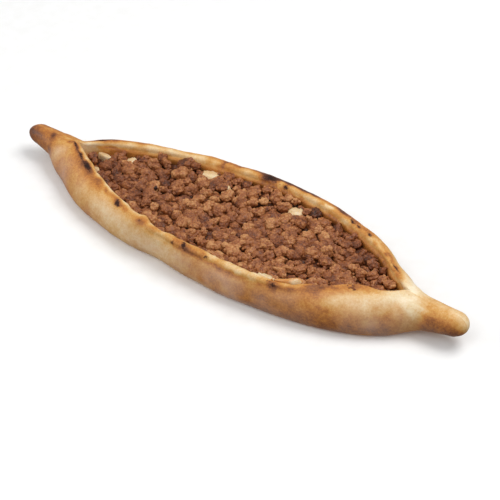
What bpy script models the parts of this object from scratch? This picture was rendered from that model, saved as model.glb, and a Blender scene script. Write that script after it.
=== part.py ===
"""A boat-shaped flatbread with a minced meat filling, as three solids.

The frame has +X along the bread, +Z up and its origin under the middle, on the
surface that the bread lies on. Sizes are in metres.

crust         the dough: a flat floor, two rounded walls that fold inwards, and a
              rolled nub at each end where the walls meet
cheese        the melted layer on the dough floor, which rises against the far
              wall in a few places
meat_topping  the heap of minced meat, out to its uneven outline
"""

import math

import bmesh
import bpy

# Driving sizes of the bread. A pair is for the near wall and the far wall.
HALF_LENGTH = 0.210
OPENING_HALF = 0.161
RIM_HALF_WIDTH = (0.054, 0.0554)
BELLY_HALF_WIDTH = 0.0625
RIM_HEIGHT = 0.028
BELLY_HEIGHT = 0.010
FLOOR_HEIGHT = 0.0055

# The pointed ovals that the walls follow in plan, as (half length, fullness, bluntness).
LEFT_RIM = (OPENING_HALF, 1.9, 1.0)
NEAR_RIGHT_RIM = (OPENING_HALF, 3.0, 0.80)
FAR_RIGHT_RIM = (OPENING_HALF, 2.3, 0.85)
LEFT_BELLY = (0.182, 2.3, 0.85)
RIGHT_BELLY = (0.178, 3.0, 0.62)
LEAST_RIM = 0.0022

# The walls: how far the base stands in from the belly, the rounded lip of the rim,
# which is a full roll on the far wall, the slope of the inner face and how much it
# hollows. Where the bread is narrow, each is held to a share of the width.
BASE_INSET = 0.0070
BASE_SHARE = 0.3
LIP_RADIUS = (0.0026, 0.0066)
LIP_SHARE = 0.4
INNER_SLOPE = (0.0062, 0.0024)
INNER_HOLLOW = 1.5
FOOT_SHARE = 0.3
LEAST_LEAN = 0.002

# The far wall leans out by FAR_WALL_WIDTH. It gains a little towards the ends and
# loses more at the necks.
FAR_WALL_WIDTH = 0.0084
FAR_WALL_GAIN = 0.0030
FAR_WALL_LOSS = 0.006
FAR_GAIN_START = 0.060
FAR_GAIN_END = 0.150
FAR_LOSS_END = 0.166

# The ends of the trough: the run over which the floor drops from the rim, and how
# far under the rim it starts.
END_SLOPE = 0.015
FLOOR_DIP = 0.0003

# The rolled nubs, (left, right): radius at the neck and behind the round tip,
# length of the rounding, top height and lift of the underside.
NECK_RADIUS = (0.0139, 0.0140)
TIP_RADIUS = (0.0074, 0.0088)
TIP_ROUNDING = (0.0115, 0.0110)
NUB_TOP = (0.0251, 0.0250)
NUB_LIFT = (0.0100, 0.0083)
NUB_LIFT_START = (0.162, 0.167)
NECK_START = 0.156
NECK_END = 0.186
TOP_BLEND_START = 0.150
TOP_BLEND_END = 0.185
ROLL_START = 0.165
NECK_REACH = 0.010

# Hand-shaped swells and dips, as (place along X, half width, amount).
NEAR_BELLY_SWELLS = (
    (-0.172, 0.016, 0.0058),
    (-0.125, 0.030, 0.0025),
    (-0.028, 0.020, -0.0036),
    (0.036, 0.016, 0.0014),
)
FAR_BELLY_SWELLS = ((-0.166, 0.012, -0.0045), (0.1585, 0.006, 0.0036), (0.172, 0.006, -0.0012))
NEAR_RIM_SWELLS = (
    (-0.058, 0.008, 0.0022),
    (-0.045, 0.005, -0.0022),
    (-0.030, 0.022, 0.0018),
    (0.070, 0.016, 0.0016),
    (0.122, 0.026, -0.0080),
    (0.132, 0.010, -0.0036),
)
FAR_RIM_SWELLS = ((-0.035, 0.030, -0.0018), (0.138, 0.012, -0.0020))
NEAR_HEIGHT_SWELLS = (
    (-0.172, 0.010, 0.0050),
    (-0.150, 0.025, 0.0010),
    (-0.045, 0.006, 0.0010),
    (0.140, 0.030, 0.0015),
)
FAR_HEIGHT_SWELLS = (
    (-0.156, 0.010, -0.0028),
    (-0.136, 0.018, 0.0012),
    (-0.045, 0.045, -0.0008),
    (0.143, 0.016, -0.0010),
)

# The crease under the folded rim, where the rim stands a little proud of the wall.
CREASE_DEPTH = 0.0013
CREASE_ANGLE = math.radians(52.0)
CREASE_SPREAD = math.radians(13.0)
CREASE_FROM = -0.048
CREASE_TO = 0.108
CREASE_FADE = 0.03

# The filling. GAP is the clearance between two layers, and WALL_GAP the clearance
# to the sloping inner faces, whose facets twist a little towards the ends.
GAP = 0.0003
WALL_GAP = 0.0006
CHEESE_END = 0.1530
CHEESE_DEPTH = 0.0040
CHEESE_END_SHARE = 0.35
CHEESE_STRIP = 0.0012
STRIP_RISE = 0.0006
CHEESE_PATCHES = (
    (-0.115, 0.011, 0.0060),
    (-0.051, 0.007, 0.0080),
    (-0.029, 0.004, 0.0035),
    (0.031, 0.007, 0.0060),
)
PATCH_RISE = 0.85
MEAT_ENDS = (0.1430, 0.1510)
MEAT_HEIGHT = 0.0206
MEAT_LUMP = 0.0011
MEAT_SHOULDER = 0.0016
MEAT_COLUMNS = 13

# The waves that make the top of the meat uneven, in radians per metre along X and Y:
# a square set, and a slanting set of a smaller height.
SQUARE_WAVES = (231.0, 317.0)
SQUARE_PHASES = (1.3, 0.6)
SLANT_WAVES = (487.0, -271.0)
SLANT_SHARE = 0.6

# How finely the sections are divided.
BODY_STEPS = 64
TIP_STEPS = 5
TIP_LAST = math.radians(80.0)
BASE_STEPS = 4
LOW_STEPS = 3
WALL_STEPS = 6
LIP_STEPS = 4
INNER_STEPS = 3
FLOOR_STEPS = 4
ROLL_SHOULDER = math.radians(62.0)
ROLL_BASE = math.radians(48.0)
SHARP_ANGLE = math.radians(50.0)

# Plain colours and roughness of the three foods.
DOUGH_COLOR = (0.69, 0.47, 0.24)
DOUGH_ROUGHNESS = 0.62
CHEESE_COLOR = (0.86, 0.70, 0.40)
CHEESE_ROUGHNESS = 0.35
MINCE_COLOR = (0.30, 0.15, 0.075)
MINCE_ROUGHNESS = 0.55


def smooth_step(start, end, value):
    """0 before start, 1 after end, and an even curve between them."""
    t = min(1.0, max(0.0, (value - start) / (end - start)))
    return t * t * (3.0 - 2.0 * t)


def lens(x, half, fullness, bluntness):
    """1 in the middle and 0 at half: one side of a pointed oval."""
    t = min(1.0, abs(x) / half)
    return (1.0 - t**fullness) ** bluntness


def swell(x, swells):
    """The sum of the hand-shaped swells at x."""
    return sum(amount * math.exp(-(((x - place) / width) ** 2)) for place, width, amount in swells)


def soft_max(a, b, reach):
    """The larger of a and b, with a smooth turn where they are within reach."""
    h = max(0.0, reach - abs(a - b)) / reach
    return max(a, b) + h * h * reach * 0.25


def end_value(pair, x):
    """The value of a (left, right) pair for the end that x is on."""
    return pair[0] if x < 0.0 else pair[1]


def side_value(pair, side):
    """The value of a (near, far) pair for a side, which is -1 near and +1 far."""
    return pair[0] if side < 0 else pair[1]


def tip_scale(x):
    """1 along the bread, falling to 0 round the tip of a nub."""
    rounding = end_value(TIP_ROUNDING, x)
    past = abs(x) - (HALF_LENGTH - rounding)
    if past <= 0.0:
        return 1.0
    return math.sqrt(max(0.0, 1.0 - (past / rounding) ** 2))


def roll_radius(x):
    """Half width of the rolled nub, without the rounding of its tip."""
    along = (abs(x) - ROLL_START) / (HALF_LENGTH - end_value(TIP_ROUNDING, x) - ROLL_START)
    along = min(1.0, max(0.0, along))
    return end_value(NECK_RADIUS, x) * (1.0 - along) + end_value(TIP_RADIUS, x) * along


def rim_half_width(x, side):
    """Distance of the rim's crest from the axis."""
    if x < 0.0:
        oval = LEFT_RIM
    elif side < 0:
        oval = NEAR_RIGHT_RIM
    else:
        oval = FAR_RIGHT_RIM
    width = side_value(RIM_HALF_WIDTH, side) * lens(x, *oval)
    width += swell(x, NEAR_RIM_SWELLS if side < 0 else FAR_RIM_SWELLS)
    return max(width, LEAST_RIM)


def belly_half_width(x, side):
    """Distance of the widest line of the outer face from the axis."""
    roll = roll_radius(x)
    if side < 0:
        oval = LEFT_BELLY if x < 0.0 else RIGHT_BELLY
        width = BELLY_HALF_WIDTH * lens(x, *oval) + swell(x, NEAR_BELLY_SWELLS)
    else:
        width = rim_half_width(x, side) + FAR_WALL_WIDTH
        width += FAR_WALL_GAIN * smooth_step(FAR_GAIN_START, FAR_GAIN_END, abs(x))
        width -= FAR_WALL_LOSS * smooth_step(FAR_GAIN_END, FAR_LOSS_END, abs(x))
        roll += swell(x, FAR_BELLY_SWELLS)
    return soft_max(width, roll, NECK_REACH)


def rim_height(x, side):
    """Height of the rim's crest, which runs on into the top of the nub."""
    height = RIM_HEIGHT + swell(x, NEAR_HEIGHT_SWELLS if side < 0 else FAR_HEIGHT_SWELLS)
    share = smooth_step(TOP_BLEND_START, TOP_BLEND_END, abs(x))
    return height + (end_value(NUB_TOP, x) - height) * share


def underside(x):
    """Height of the underside: flat on the table, lifted under the nubs."""
    return end_value(NUB_LIFT, x) * smooth_step(end_value(NUB_LIFT_START, x), HALF_LENGTH, abs(x))


def trough_depth(x):
    """0 at the ends of the opening, 1 where the floor is at its full depth."""
    return smooth_step(0.0, END_SLOPE, OPENING_HALF - abs(x))


def floor_height(x):
    """Height of the dough floor inside the walls."""
    top = min(rim_height(x, -1), rim_height(x, 1))
    return top - FLOOR_DIP - (top - FLOOR_HEIGHT) * trough_depth(x)


def inner_wall(x, side):
    """Points (y, z) from the rim's crest down to the foot of the inner face, without the foot."""
    depth = trough_depth(x)
    crest_y = rim_half_width(x, side)
    crest_z = rim_height(x, side)
    lip = min(side_value(LIP_RADIUS, side), LIP_SHARE * crest_y)
    drop = lip * min(1.0, 2.0 * depth)
    points = []
    for i in range(LIP_STEPS):
        angle = 0.5 * math.pi * i / LIP_STEPS
        points.append((crest_y - lip * math.sin(angle), crest_z - drop * (1.0 - math.cos(angle))))
    foot_y = inner_foot(x, side)
    foot_z = floor_height(x)
    for i in range(INNER_STEPS):
        t = i / INNER_STEPS
        y = (crest_y - lip) + (foot_y - crest_y + lip) * t**INNER_HOLLOW
        z = (crest_z - drop) + (foot_z - crest_z + drop) * math.sin(0.5 * math.pi * t)
        points.append((y, z))
    return points


def inner_foot(x, side):
    """Distance of the foot of the inner face from the axis."""
    crest_y = rim_half_width(x, side)
    inset = side_value(LIP_RADIUS, side) + side_value(INNER_SLOPE, side)
    return max(crest_y - inset, FOOT_SHARE * crest_y)


def outer_wall(x, side):
    """Points (y, z) from the edge of the base up to the rim's crest, without the crest."""
    belly_y = belly_half_width(x, side)
    crest_y = min(rim_half_width(x, side), belly_y - LEAST_LEAN)
    crest_z = rim_height(x, side)
    base_y = max(belly_y - BASE_INSET, BASE_SHARE * belly_y)
    base_z = underside(x)
    inside = smooth_step(CREASE_FROM, CREASE_FROM + CREASE_FADE, x)
    inside *= smooth_step(-CREASE_TO, CREASE_FADE - CREASE_TO, -x)
    points = []
    for i in range(LOW_STEPS):
        angle = 0.5 * math.pi * (1.0 - i / LOW_STEPS)
        y = base_y + (belly_y - base_y) * math.cos(angle)
        points.append((y, BELLY_HEIGHT - (BELLY_HEIGHT - base_z) * math.sin(angle)))
    for i in range(WALL_STEPS):
        angle = 0.5 * math.pi * i / WALL_STEPS
        crease = CREASE_DEPTH * inside * math.exp(-(((angle - CREASE_ANGLE) / CREASE_SPREAD) ** 2))
        y = crest_y + (belly_y - crest_y) * math.cos(angle) - crease
        points.append((y, BELLY_HEIGHT + (crest_z - BELLY_HEIGHT) * math.sin(angle)))
    return points


def boat_section(x):
    """The closed outline (y, z) of the dough at x, from the near edge of the base round the far side."""
    far = outer_wall(x, 1) + inner_wall(x, 1)
    near = [(-y, z) for y, z in outer_wall(x, -1) + inner_wall(x, -1)]
    base_near, base_far = near[0][0], far[0][0]
    foot_near, foot_far = -inner_foot(x, -1), inner_foot(x, 1)
    base = []
    for i in range(1, BASE_STEPS):
        base.append((base_near + (base_far - base_near) * i / BASE_STEPS, underside(x)))
    floor = []
    for i in range(FLOOR_STEPS + 1):
        floor.append((foot_far + (foot_near - foot_far) * i / FLOOR_STEPS, floor_height(x)))
    return base + far + floor + near[::-1]


def roll_section(x):
    """The same points as boat_section has, round the oval of the rolled nub."""
    bottom = underside(x)
    top = rim_height(x, -1)
    near_y = belly_half_width(x, -1)
    far_y = belly_half_width(x, 1)
    radius_z = 0.5 * (top - bottom)
    wall = LOW_STEPS + WALL_STEPS
    crown = 2 * (LIP_STEPS + INNER_STEPS) + FLOOR_STEPS
    low = 0.5 * math.pi - ROLL_BASE
    angles = [-0.5 * math.pi - ROLL_BASE + 2.0 * ROLL_BASE * i / BASE_STEPS for i in range(1, BASE_STEPS)]
    for i in range(wall):
        if i < LOW_STEPS:
            angles.append(-low * (1.0 - i / LOW_STEPS))
        else:
            angles.append(ROLL_SHOULDER * (i - LOW_STEPS) / WALL_STEPS)
    for i in range(crown + 1):
        angles.append(ROLL_SHOULDER + (math.pi - 2.0 * ROLL_SHOULDER) * i / crown)
    for i in reversed(range(wall)):
        if i < LOW_STEPS:
            angles.append(math.pi + low * (1.0 - i / LOW_STEPS))
        else:
            angles.append(math.pi - ROLL_SHOULDER * (i - LOW_STEPS) / WALL_STEPS)
    section = []
    for angle in angles:
        radius_y = far_y if math.cos(angle) > 0.0 else near_y
        section.append((radius_y * math.cos(angle), bottom + radius_z * (1.0 + math.sin(angle))))
    return section


def crust_section(x):
    """The dough's outline at x: the boat, turning into the roll past the opening."""
    share = smooth_step(NECK_START, NECK_END, abs(x))
    boat = boat_section(x)
    roll = roll_section(x)
    middle = 0.5 * (underside(x) + rim_height(x, -1))
    scale = tip_scale(x)
    section = []
    for (boat_y, boat_z), (roll_y, roll_z) in zip(boat, roll):
        y = boat_y + (roll_y - boat_y) * share
        z = boat_z + (roll_z - boat_z) * share
        section.append((y * scale, middle + (z - middle) * scale))
    return section


def crust_stations():
    """Places along X: evenly along the bread, then by angle round each tip."""
    left = HALF_LENGTH - TIP_ROUNDING[0]
    right = HALF_LENGTH - TIP_ROUNDING[1]
    places = [-left + (left + right) * i / BODY_STEPS for i in range(BODY_STEPS + 1)]
    for i in range(1, TIP_STEPS + 1):
        angle = TIP_LAST * i / TIP_STEPS
        places.append(-left - TIP_ROUNDING[0] * math.sin(angle))
        places.append(right + TIP_ROUNDING[1] * math.sin(angle))
    return sorted(places)


def wall_at(x, side, z):
    """Distance of the faceted inner face from the axis at height z."""
    points = inner_wall(x, side) + [(inner_foot(x, side), floor_height(x))]
    for (upper_y, upper_z), (lower_y, lower_z) in zip(points, points[1:]):
        if lower_z <= z <= upper_z and upper_z > lower_z:
            return lower_y + (upper_y - lower_y) * (z - lower_z) / (upper_z - lower_z)
    return inner_foot(x, side)


def cheese_top(x):
    """Height of the cheese layer under the meat."""
    share = CHEESE_END_SHARE + (1.0 - CHEESE_END_SHARE) * trough_depth(x)
    return floor_height(x) + GAP + CHEESE_DEPTH * share


def strip_width(x):
    """Width of the cheese between the meat and the far wall."""
    return CHEESE_STRIP + swell(x, CHEESE_PATCHES)


def strip_height(x):
    """Height of the cheese against the far wall."""
    return cheese_top(x) + STRIP_RISE + PATCH_RISE * swell(x, CHEESE_PATCHES)


def cheese_section(x):
    """Outline (y, z) of the cheese at x."""
    bottom = floor_height(x) + GAP
    top = cheese_top(x)
    crown = strip_height(x)
    width = strip_width(x)
    middle = 0.5 * (bottom + top)
    return [
        (-(wall_at(x, -1, bottom) - WALL_GAP), bottom),
        (wall_at(x, 1, bottom) - WALL_GAP, bottom),
        (wall_at(x, 1, middle) - WALL_GAP, middle),
        (wall_at(x, 1, top) - WALL_GAP, top),
        (wall_at(x, 1, crown) - WALL_GAP, crown),
        (wall_at(x, 1, crown) - WALL_GAP - width, crown),
        (wall_at(x, 1, top) - WALL_GAP - width, top),
        (-(wall_at(x, -1, top) - WALL_GAP), top),
        (-(wall_at(x, -1, middle) - WALL_GAP), middle),
    ]


def meat_height(x, y):
    """Height of the uneven top of the meat."""
    square = math.sin(SQUARE_WAVES[0] * x + SQUARE_PHASES[0])
    square *= math.sin(SQUARE_WAVES[1] * y + SQUARE_PHASES[1])
    slant = math.sin(SLANT_WAVES[0] * x + SLANT_WAVES[1] * y)
    return MEAT_HEIGHT + MEAT_LUMP * (square + SLANT_SHARE * slant)


def meat_section(x):
    """Outline (y, z) of the meat at x."""
    bottom = cheese_top(x) + GAP
    inset = WALL_GAP + strip_width(x) + GAP
    near_inset = WALL_GAP + GAP
    section = [(-(wall_at(x, -1, bottom) - near_inset), bottom), (wall_at(x, 1, bottom) - inset, bottom)]
    shoulder = MEAT_HEIGHT - MEAT_SHOULDER
    middle = 0.5 * (bottom + shoulder)
    section.append((wall_at(x, 1, middle) - inset, middle))
    far = wall_at(x, 1, shoulder) - inset
    near = -(wall_at(x, -1, shoulder) - near_inset)
    section.append((far, shoulder))
    for i in range(1, MEAT_COLUMNS):
        y = far + (near - far) * i / MEAT_COLUMNS
        section.append((y, meat_height(x, y)))
    section.append((near, shoulder))
    section.append((-(wall_at(x, -1, middle) - near_inset), middle))
    return section


def make_material(name, color, roughness):
    """A Principled material of one colour."""
    material = bpy.data.materials.new(name)
    material.use_nodes = True
    shader = material.node_tree.nodes["Principled BSDF"]
    shader.inputs["Base Color"].default_value = (*color, 1.0)
    shader.inputs["Roughness"].default_value = roughness
    shader.inputs["Metallic"].default_value = 0.0
    return material


def loft(name, stations, section_at, material, collection):
    """A closed solid through the sections at the stations, with its two ends capped."""
    build = bmesh.new()
    rings = []
    for x in stations:
        rings.append([build.verts.new((x, y, z)) for y, z in section_at(x)])
    for ring, following in zip(rings, rings[1:]):
        for i in range(len(ring)):
            j = (i + 1) % len(ring)
            build.faces.new((ring[i], ring[j], following[j], following[i]))
    build.faces.new(rings[0])
    build.faces.new(rings[-1])
    bmesh.ops.recalc_face_normals(build, faces=build.faces)
    mesh = bpy.data.meshes.new(name)
    build.to_mesh(mesh)
    build.free()
    mesh.shade_smooth()
    mesh.set_sharp_from_angle(angle=SHARP_ANGLE)
    mesh.materials.append(material)
    solid = bpy.data.objects.new(name, mesh)
    collection.objects.link(solid)
    return solid


def clear_scene():
    """Removes what the scene starts with."""
    for item in list(bpy.data.objects):
        bpy.data.objects.remove(item, do_unlink=True)


def build_pide():
    """Builds the bread in a collection of its own."""
    collection = bpy.data.collections.new("turkish_pide")
    bpy.context.scene.collection.children.link(collection)
    dough = make_material("baked_dough", DOUGH_COLOR, DOUGH_ROUGHNESS)
    melted = make_material("melted_cheese", CHEESE_COLOR, CHEESE_ROUGHNESS)
    mince = make_material("cooked_mince", MINCE_COLOR, MINCE_ROUGHNESS)
    stations = crust_stations()
    loft("crust", stations, crust_section, dough, collection)
    cheese_stations = [x for x in stations if abs(x) < CHEESE_END]
    loft("cheese", cheese_stations, cheese_section, melted, collection)
    meat_stations = [x for x in stations if abs(x) < end_value(MEAT_ENDS, x)]
    loft("meat_topping", meat_stations, meat_section, mince, collection)


clear_scene()
build_pide()
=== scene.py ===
"""Looks of a Turkish pide: a boat-shaped flatbread with melted cheese and a heap of fried mince.

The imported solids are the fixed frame. Round them, in the same frame with +X along the bread and
+Z up, the script builds the crust with its oven marks, the melted cheese, and the mince as
separate crumbs that lie on a smaller core. A plain studio comes last. Lengths are in metres,
apart from fields and arguments whose names end in _mm.
"""

import logging
import math
from dataclasses import dataclass, field
from enum import Enum, IntEnum

import bpy
import numpy as np
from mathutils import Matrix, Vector


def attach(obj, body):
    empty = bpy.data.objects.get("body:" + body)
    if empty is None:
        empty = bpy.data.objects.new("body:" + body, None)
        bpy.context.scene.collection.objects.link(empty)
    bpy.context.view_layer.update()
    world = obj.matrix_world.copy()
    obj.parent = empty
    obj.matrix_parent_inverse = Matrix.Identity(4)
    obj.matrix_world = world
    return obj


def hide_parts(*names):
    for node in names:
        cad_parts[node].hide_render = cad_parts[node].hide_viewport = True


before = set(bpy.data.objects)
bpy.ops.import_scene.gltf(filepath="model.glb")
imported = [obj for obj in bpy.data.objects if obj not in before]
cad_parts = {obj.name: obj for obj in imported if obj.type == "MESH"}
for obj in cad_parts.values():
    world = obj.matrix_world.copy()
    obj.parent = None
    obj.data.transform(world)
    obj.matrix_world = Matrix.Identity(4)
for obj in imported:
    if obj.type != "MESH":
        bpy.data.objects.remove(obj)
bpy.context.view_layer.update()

LOG = logging.getLogger("pide")
MM = 0.001
HALF_TURN = math.pi
QUARTER_TURN = 0.5 * math.pi

Array = np.ndarray
Swells = tuple[tuple[float, float, float], ...]
Stops = tuple[tuple[float, str], ...]
Profile = tuple[tuple[float, float], ...]


class Side(IntEnum):
    """The two walls of the bread, by the sign of Y."""

    NEAR = -1
    FAR = 1


class Oven(Enum):
    """What shows on the dough at a spot, which is also the name of the mesh attribute that holds it."""

    BAKE = "bake"
    CHAR = "char"
    FLOUR = "flour"


# ---------------------------------------------------------------------------
# Numbers and fields
# ---------------------------------------------------------------------------


def smooth_step(start: float, end: float, value: Array) -> Array:
    """0 before start, 1 after end, and an even curve between them."""
    t = np.clip((value - start) / (end - start), 0.0, 1.0)
    return t * t * (3.0 - 2.0 * t)


def bump(value: Array, centre: float, reach: float) -> Array:
    """A smooth hump of height 1 at centre, which has faded by two reaches."""
    return np.exp(-(((value - centre) / reach) ** 2))


def swell(x: Array, swells: Swells) -> Array:
    """The sum of the given swells, each (place, reach, amount), at x."""
    total = np.zeros_like(x)
    for place, reach, amount in swells:
        total += amount * bump(x, place, reach)
    return total


def follow(value: Array, profile: Profile) -> Array:
    """The height of a profile of (place, height) knots at each value, with straight runs between."""
    places, heights = zip(*profile)
    return np.interp(value, places, heights)


def soft_noise(points: Array, size: float, seed: int) -> Array:
    """Smooth noise between -1 and 1 at each point.

    Args:
        points: places, one row each.
        size: how far apart the lumps of the noise are, in the unit of the points.
        seed: picks one field out of many.

    Returns:
        One value for each point.
    """
    cell = points / size + 0.37 * seed
    corner = np.floor(cell).astype(np.int64)
    part = cell - corner
    part = part * part * (3.0 - 2.0 * part)
    total = np.zeros(len(points))
    for step in np.ndindex(2, 2, 2):
        at = corner + np.array(step)
        mixed = at[:, 0] * 73856093 ^ at[:, 1] * 19349663 ^ at[:, 2] * 83492791 ^ seed * 49979687
        for _ in range(2):
            mixed = ((mixed ^ (mixed >> 15)) * 739982445) & 0x7FFFFFFF
        share = np.where(np.array(step) == 1, part, 1.0 - part).prod(axis=1)
        total += share * (mixed / 0x3FFFFFFF - 1.0)
    return total


def along_x(points: Array) -> Array:
    """The points moved onto the X axis, for a noise that only changes along the bread."""
    return points * np.array([1.0, 0.0, 0.0])


# ---------------------------------------------------------------------------
# Meshes and materials
# ---------------------------------------------------------------------------


def add_piece(name: str, points: Array, quads: Array, values: dict[str, Array]) -> bpy.types.Object:
    """Adds a smooth-shaded mesh to the scene.

    Args:
        name: the piece's name.
        points: the vertices, one row each, in metres.
        quads: vertex numbers, four to a row. A triangle repeats its last number.
        values: a number for each vertex, under the name of the mesh attribute that holds it.

    Returns:
        The new object.
    """
    triangle = quads[:, 2] == quads[:, 3]
    corners = np.where(triangle, 3, 4)
    starts = np.concatenate([[0], np.cumsum(corners)[:-1]])
    keep = np.ones(quads.shape, bool)
    keep[triangle, 3] = False
    mesh = bpy.data.meshes.new(name)
    mesh.vertices.add(len(points))
    mesh.vertices.foreach_set("co", points.astype(np.float32).ravel())
    mesh.loops.add(int(corners.sum()))
    mesh.loops.foreach_set("vertex_index", quads[keep].astype(np.int32))
    mesh.polygons.add(len(quads))
    mesh.polygons.foreach_set("loop_start", starts.astype(np.int32))
    mesh.update(calc_edges=True)
    mesh.validate()
    mesh.shade_smooth()
    for key, numbers in values.items():
        held = mesh.attributes.new(key, "FLOAT", "POINT")
        held.data.foreach_set("value", numbers.astype(np.float32))
    piece = bpy.data.objects.new(name, mesh)
    bpy.context.scene.collection.objects.link(piece)
    return piece


def ring_quads(rings: int, around: int) -> Array:
    """Faces between closed rings of points that follow one another, without the two end caps."""
    ring = np.arange(rings - 1)[:, None] * around
    first = np.arange(around)[None, :]
    second = (first + 1) % around
    quads = np.stack([ring + first, ring + second, ring + around + second, ring + around + first], axis=-1)
    return quads.reshape(-1, 4)


def cap_quads(centre: int, start: int, around: int, turned: bool) -> Array:
    """Triangles from one centre point to a ring of points, as quads with their last number repeated."""
    first = start + np.arange(around)
    second = start + (np.arange(around) + 1) % around
    pair = (second, first) if turned else (first, second)
    middle = np.full(around, centre)
    return np.stack([middle, pair[0], pair[1], pair[1]], axis=-1)


def closed_tube(name: str, rings: Array, values: dict[str, Array]) -> bpy.types.Object:
    """Adds a closed piece skinned over rings of points, with a point in the middle of each end.

    Args:
        name: the piece's name.
        rings: the points, shaped (rings, around, 3), in metres.
        values: numbers for each point and then for the two ends, by the attribute's name.

    Returns:
        The new object.
    """
    count, around = rings.shape[:2]
    ends = np.stack([rings[0].mean(axis=0), rings[-1].mean(axis=0)])
    total = count * around
    quads = np.concatenate(
        [
            ring_quads(count, around),
            cap_quads(total, 0, around, True),
            cap_quads(total + 1, total - around, around, False),
        ]
    )
    return add_piece(name, np.concatenate([rings.reshape(-1, 3), ends]), quads, values)


def grid_normals(points: Array) -> Array:
    """Outward normals of a grid of rings, shaped (rings, around, 3)."""
    along = np.gradient(points, axis=0)
    around = np.roll(points, -1, axis=1) - np.roll(points, 1, axis=1)
    normal = np.cross(around, along)
    length = np.linalg.norm(normal, axis=-1, keepdims=True)
    return normal / np.maximum(length, 1e-12)


def linear(code: str) -> tuple[float, float, float, float]:
    """The linear RGBA of an sRGB hex colour such as #C8A070."""
    shares = [int(code[i : i + 2], 16) / 255.0 for i in (1, 3, 5)]
    red, green, blue = (s / 12.92 if s <= 0.04045 else ((s + 0.055) / 1.055) ** 2.4 for s in shares)
    return red, green, blue, 1.0


def per_metre(size_mm: float) -> float:
    """The scale of a texture node whose pattern repeats about every size_mm."""
    return 1.0 / (size_mm * MM)


def add_node(
    tree: bpy.types.NodeTree, kind: str, inputs: dict | None = None, stops: Stops = (), **settings: object
) -> bpy.types.Node:
    """Adds a shader node with its settings and links.

    Args:
        tree: the material's node tree.
        kind: the node's type name, without the leading ShaderNode.
        inputs: what goes into each input, by name or number. A socket is linked, and anything else
            is the input's own value.
        stops: the (position, sRGB hex) stops of a colour ramp.
        settings: the node's own properties.

    Returns:
        The new node.
    """
    node = tree.nodes.new("ShaderNode" + kind)
    for name, value in settings.items():
        setattr(node, name, value)
    for key, value in (inputs or {}).items():
        if isinstance(value, bpy.types.NodeSocket):
            tree.links.new(value, node.inputs[key])
        else:
            node.inputs[key].default_value = value
    for i, (position, code) in enumerate(stops):
        elements = node.color_ramp.elements
        stop = elements[i] if i < 2 else elements.new(position)
        stop.position = position
        stop.color = linear(code)
    return node


def new_tree(name: str) -> tuple[bpy.types.Material, bpy.types.NodeTree, bpy.types.NodeSocket]:
    """An empty material, its node tree and its surface input.

    Args:
        name: the material's name.

    Returns:
        The material, its tree, and the socket that takes the finished shader.
    """
    material = bpy.data.materials.new(name)
    material.use_nodes = True
    tree = material.node_tree
    tree.nodes.clear()
    output = add_node(tree, "OutputMaterial")
    return material, tree, output.inputs["Surface"]


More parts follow.
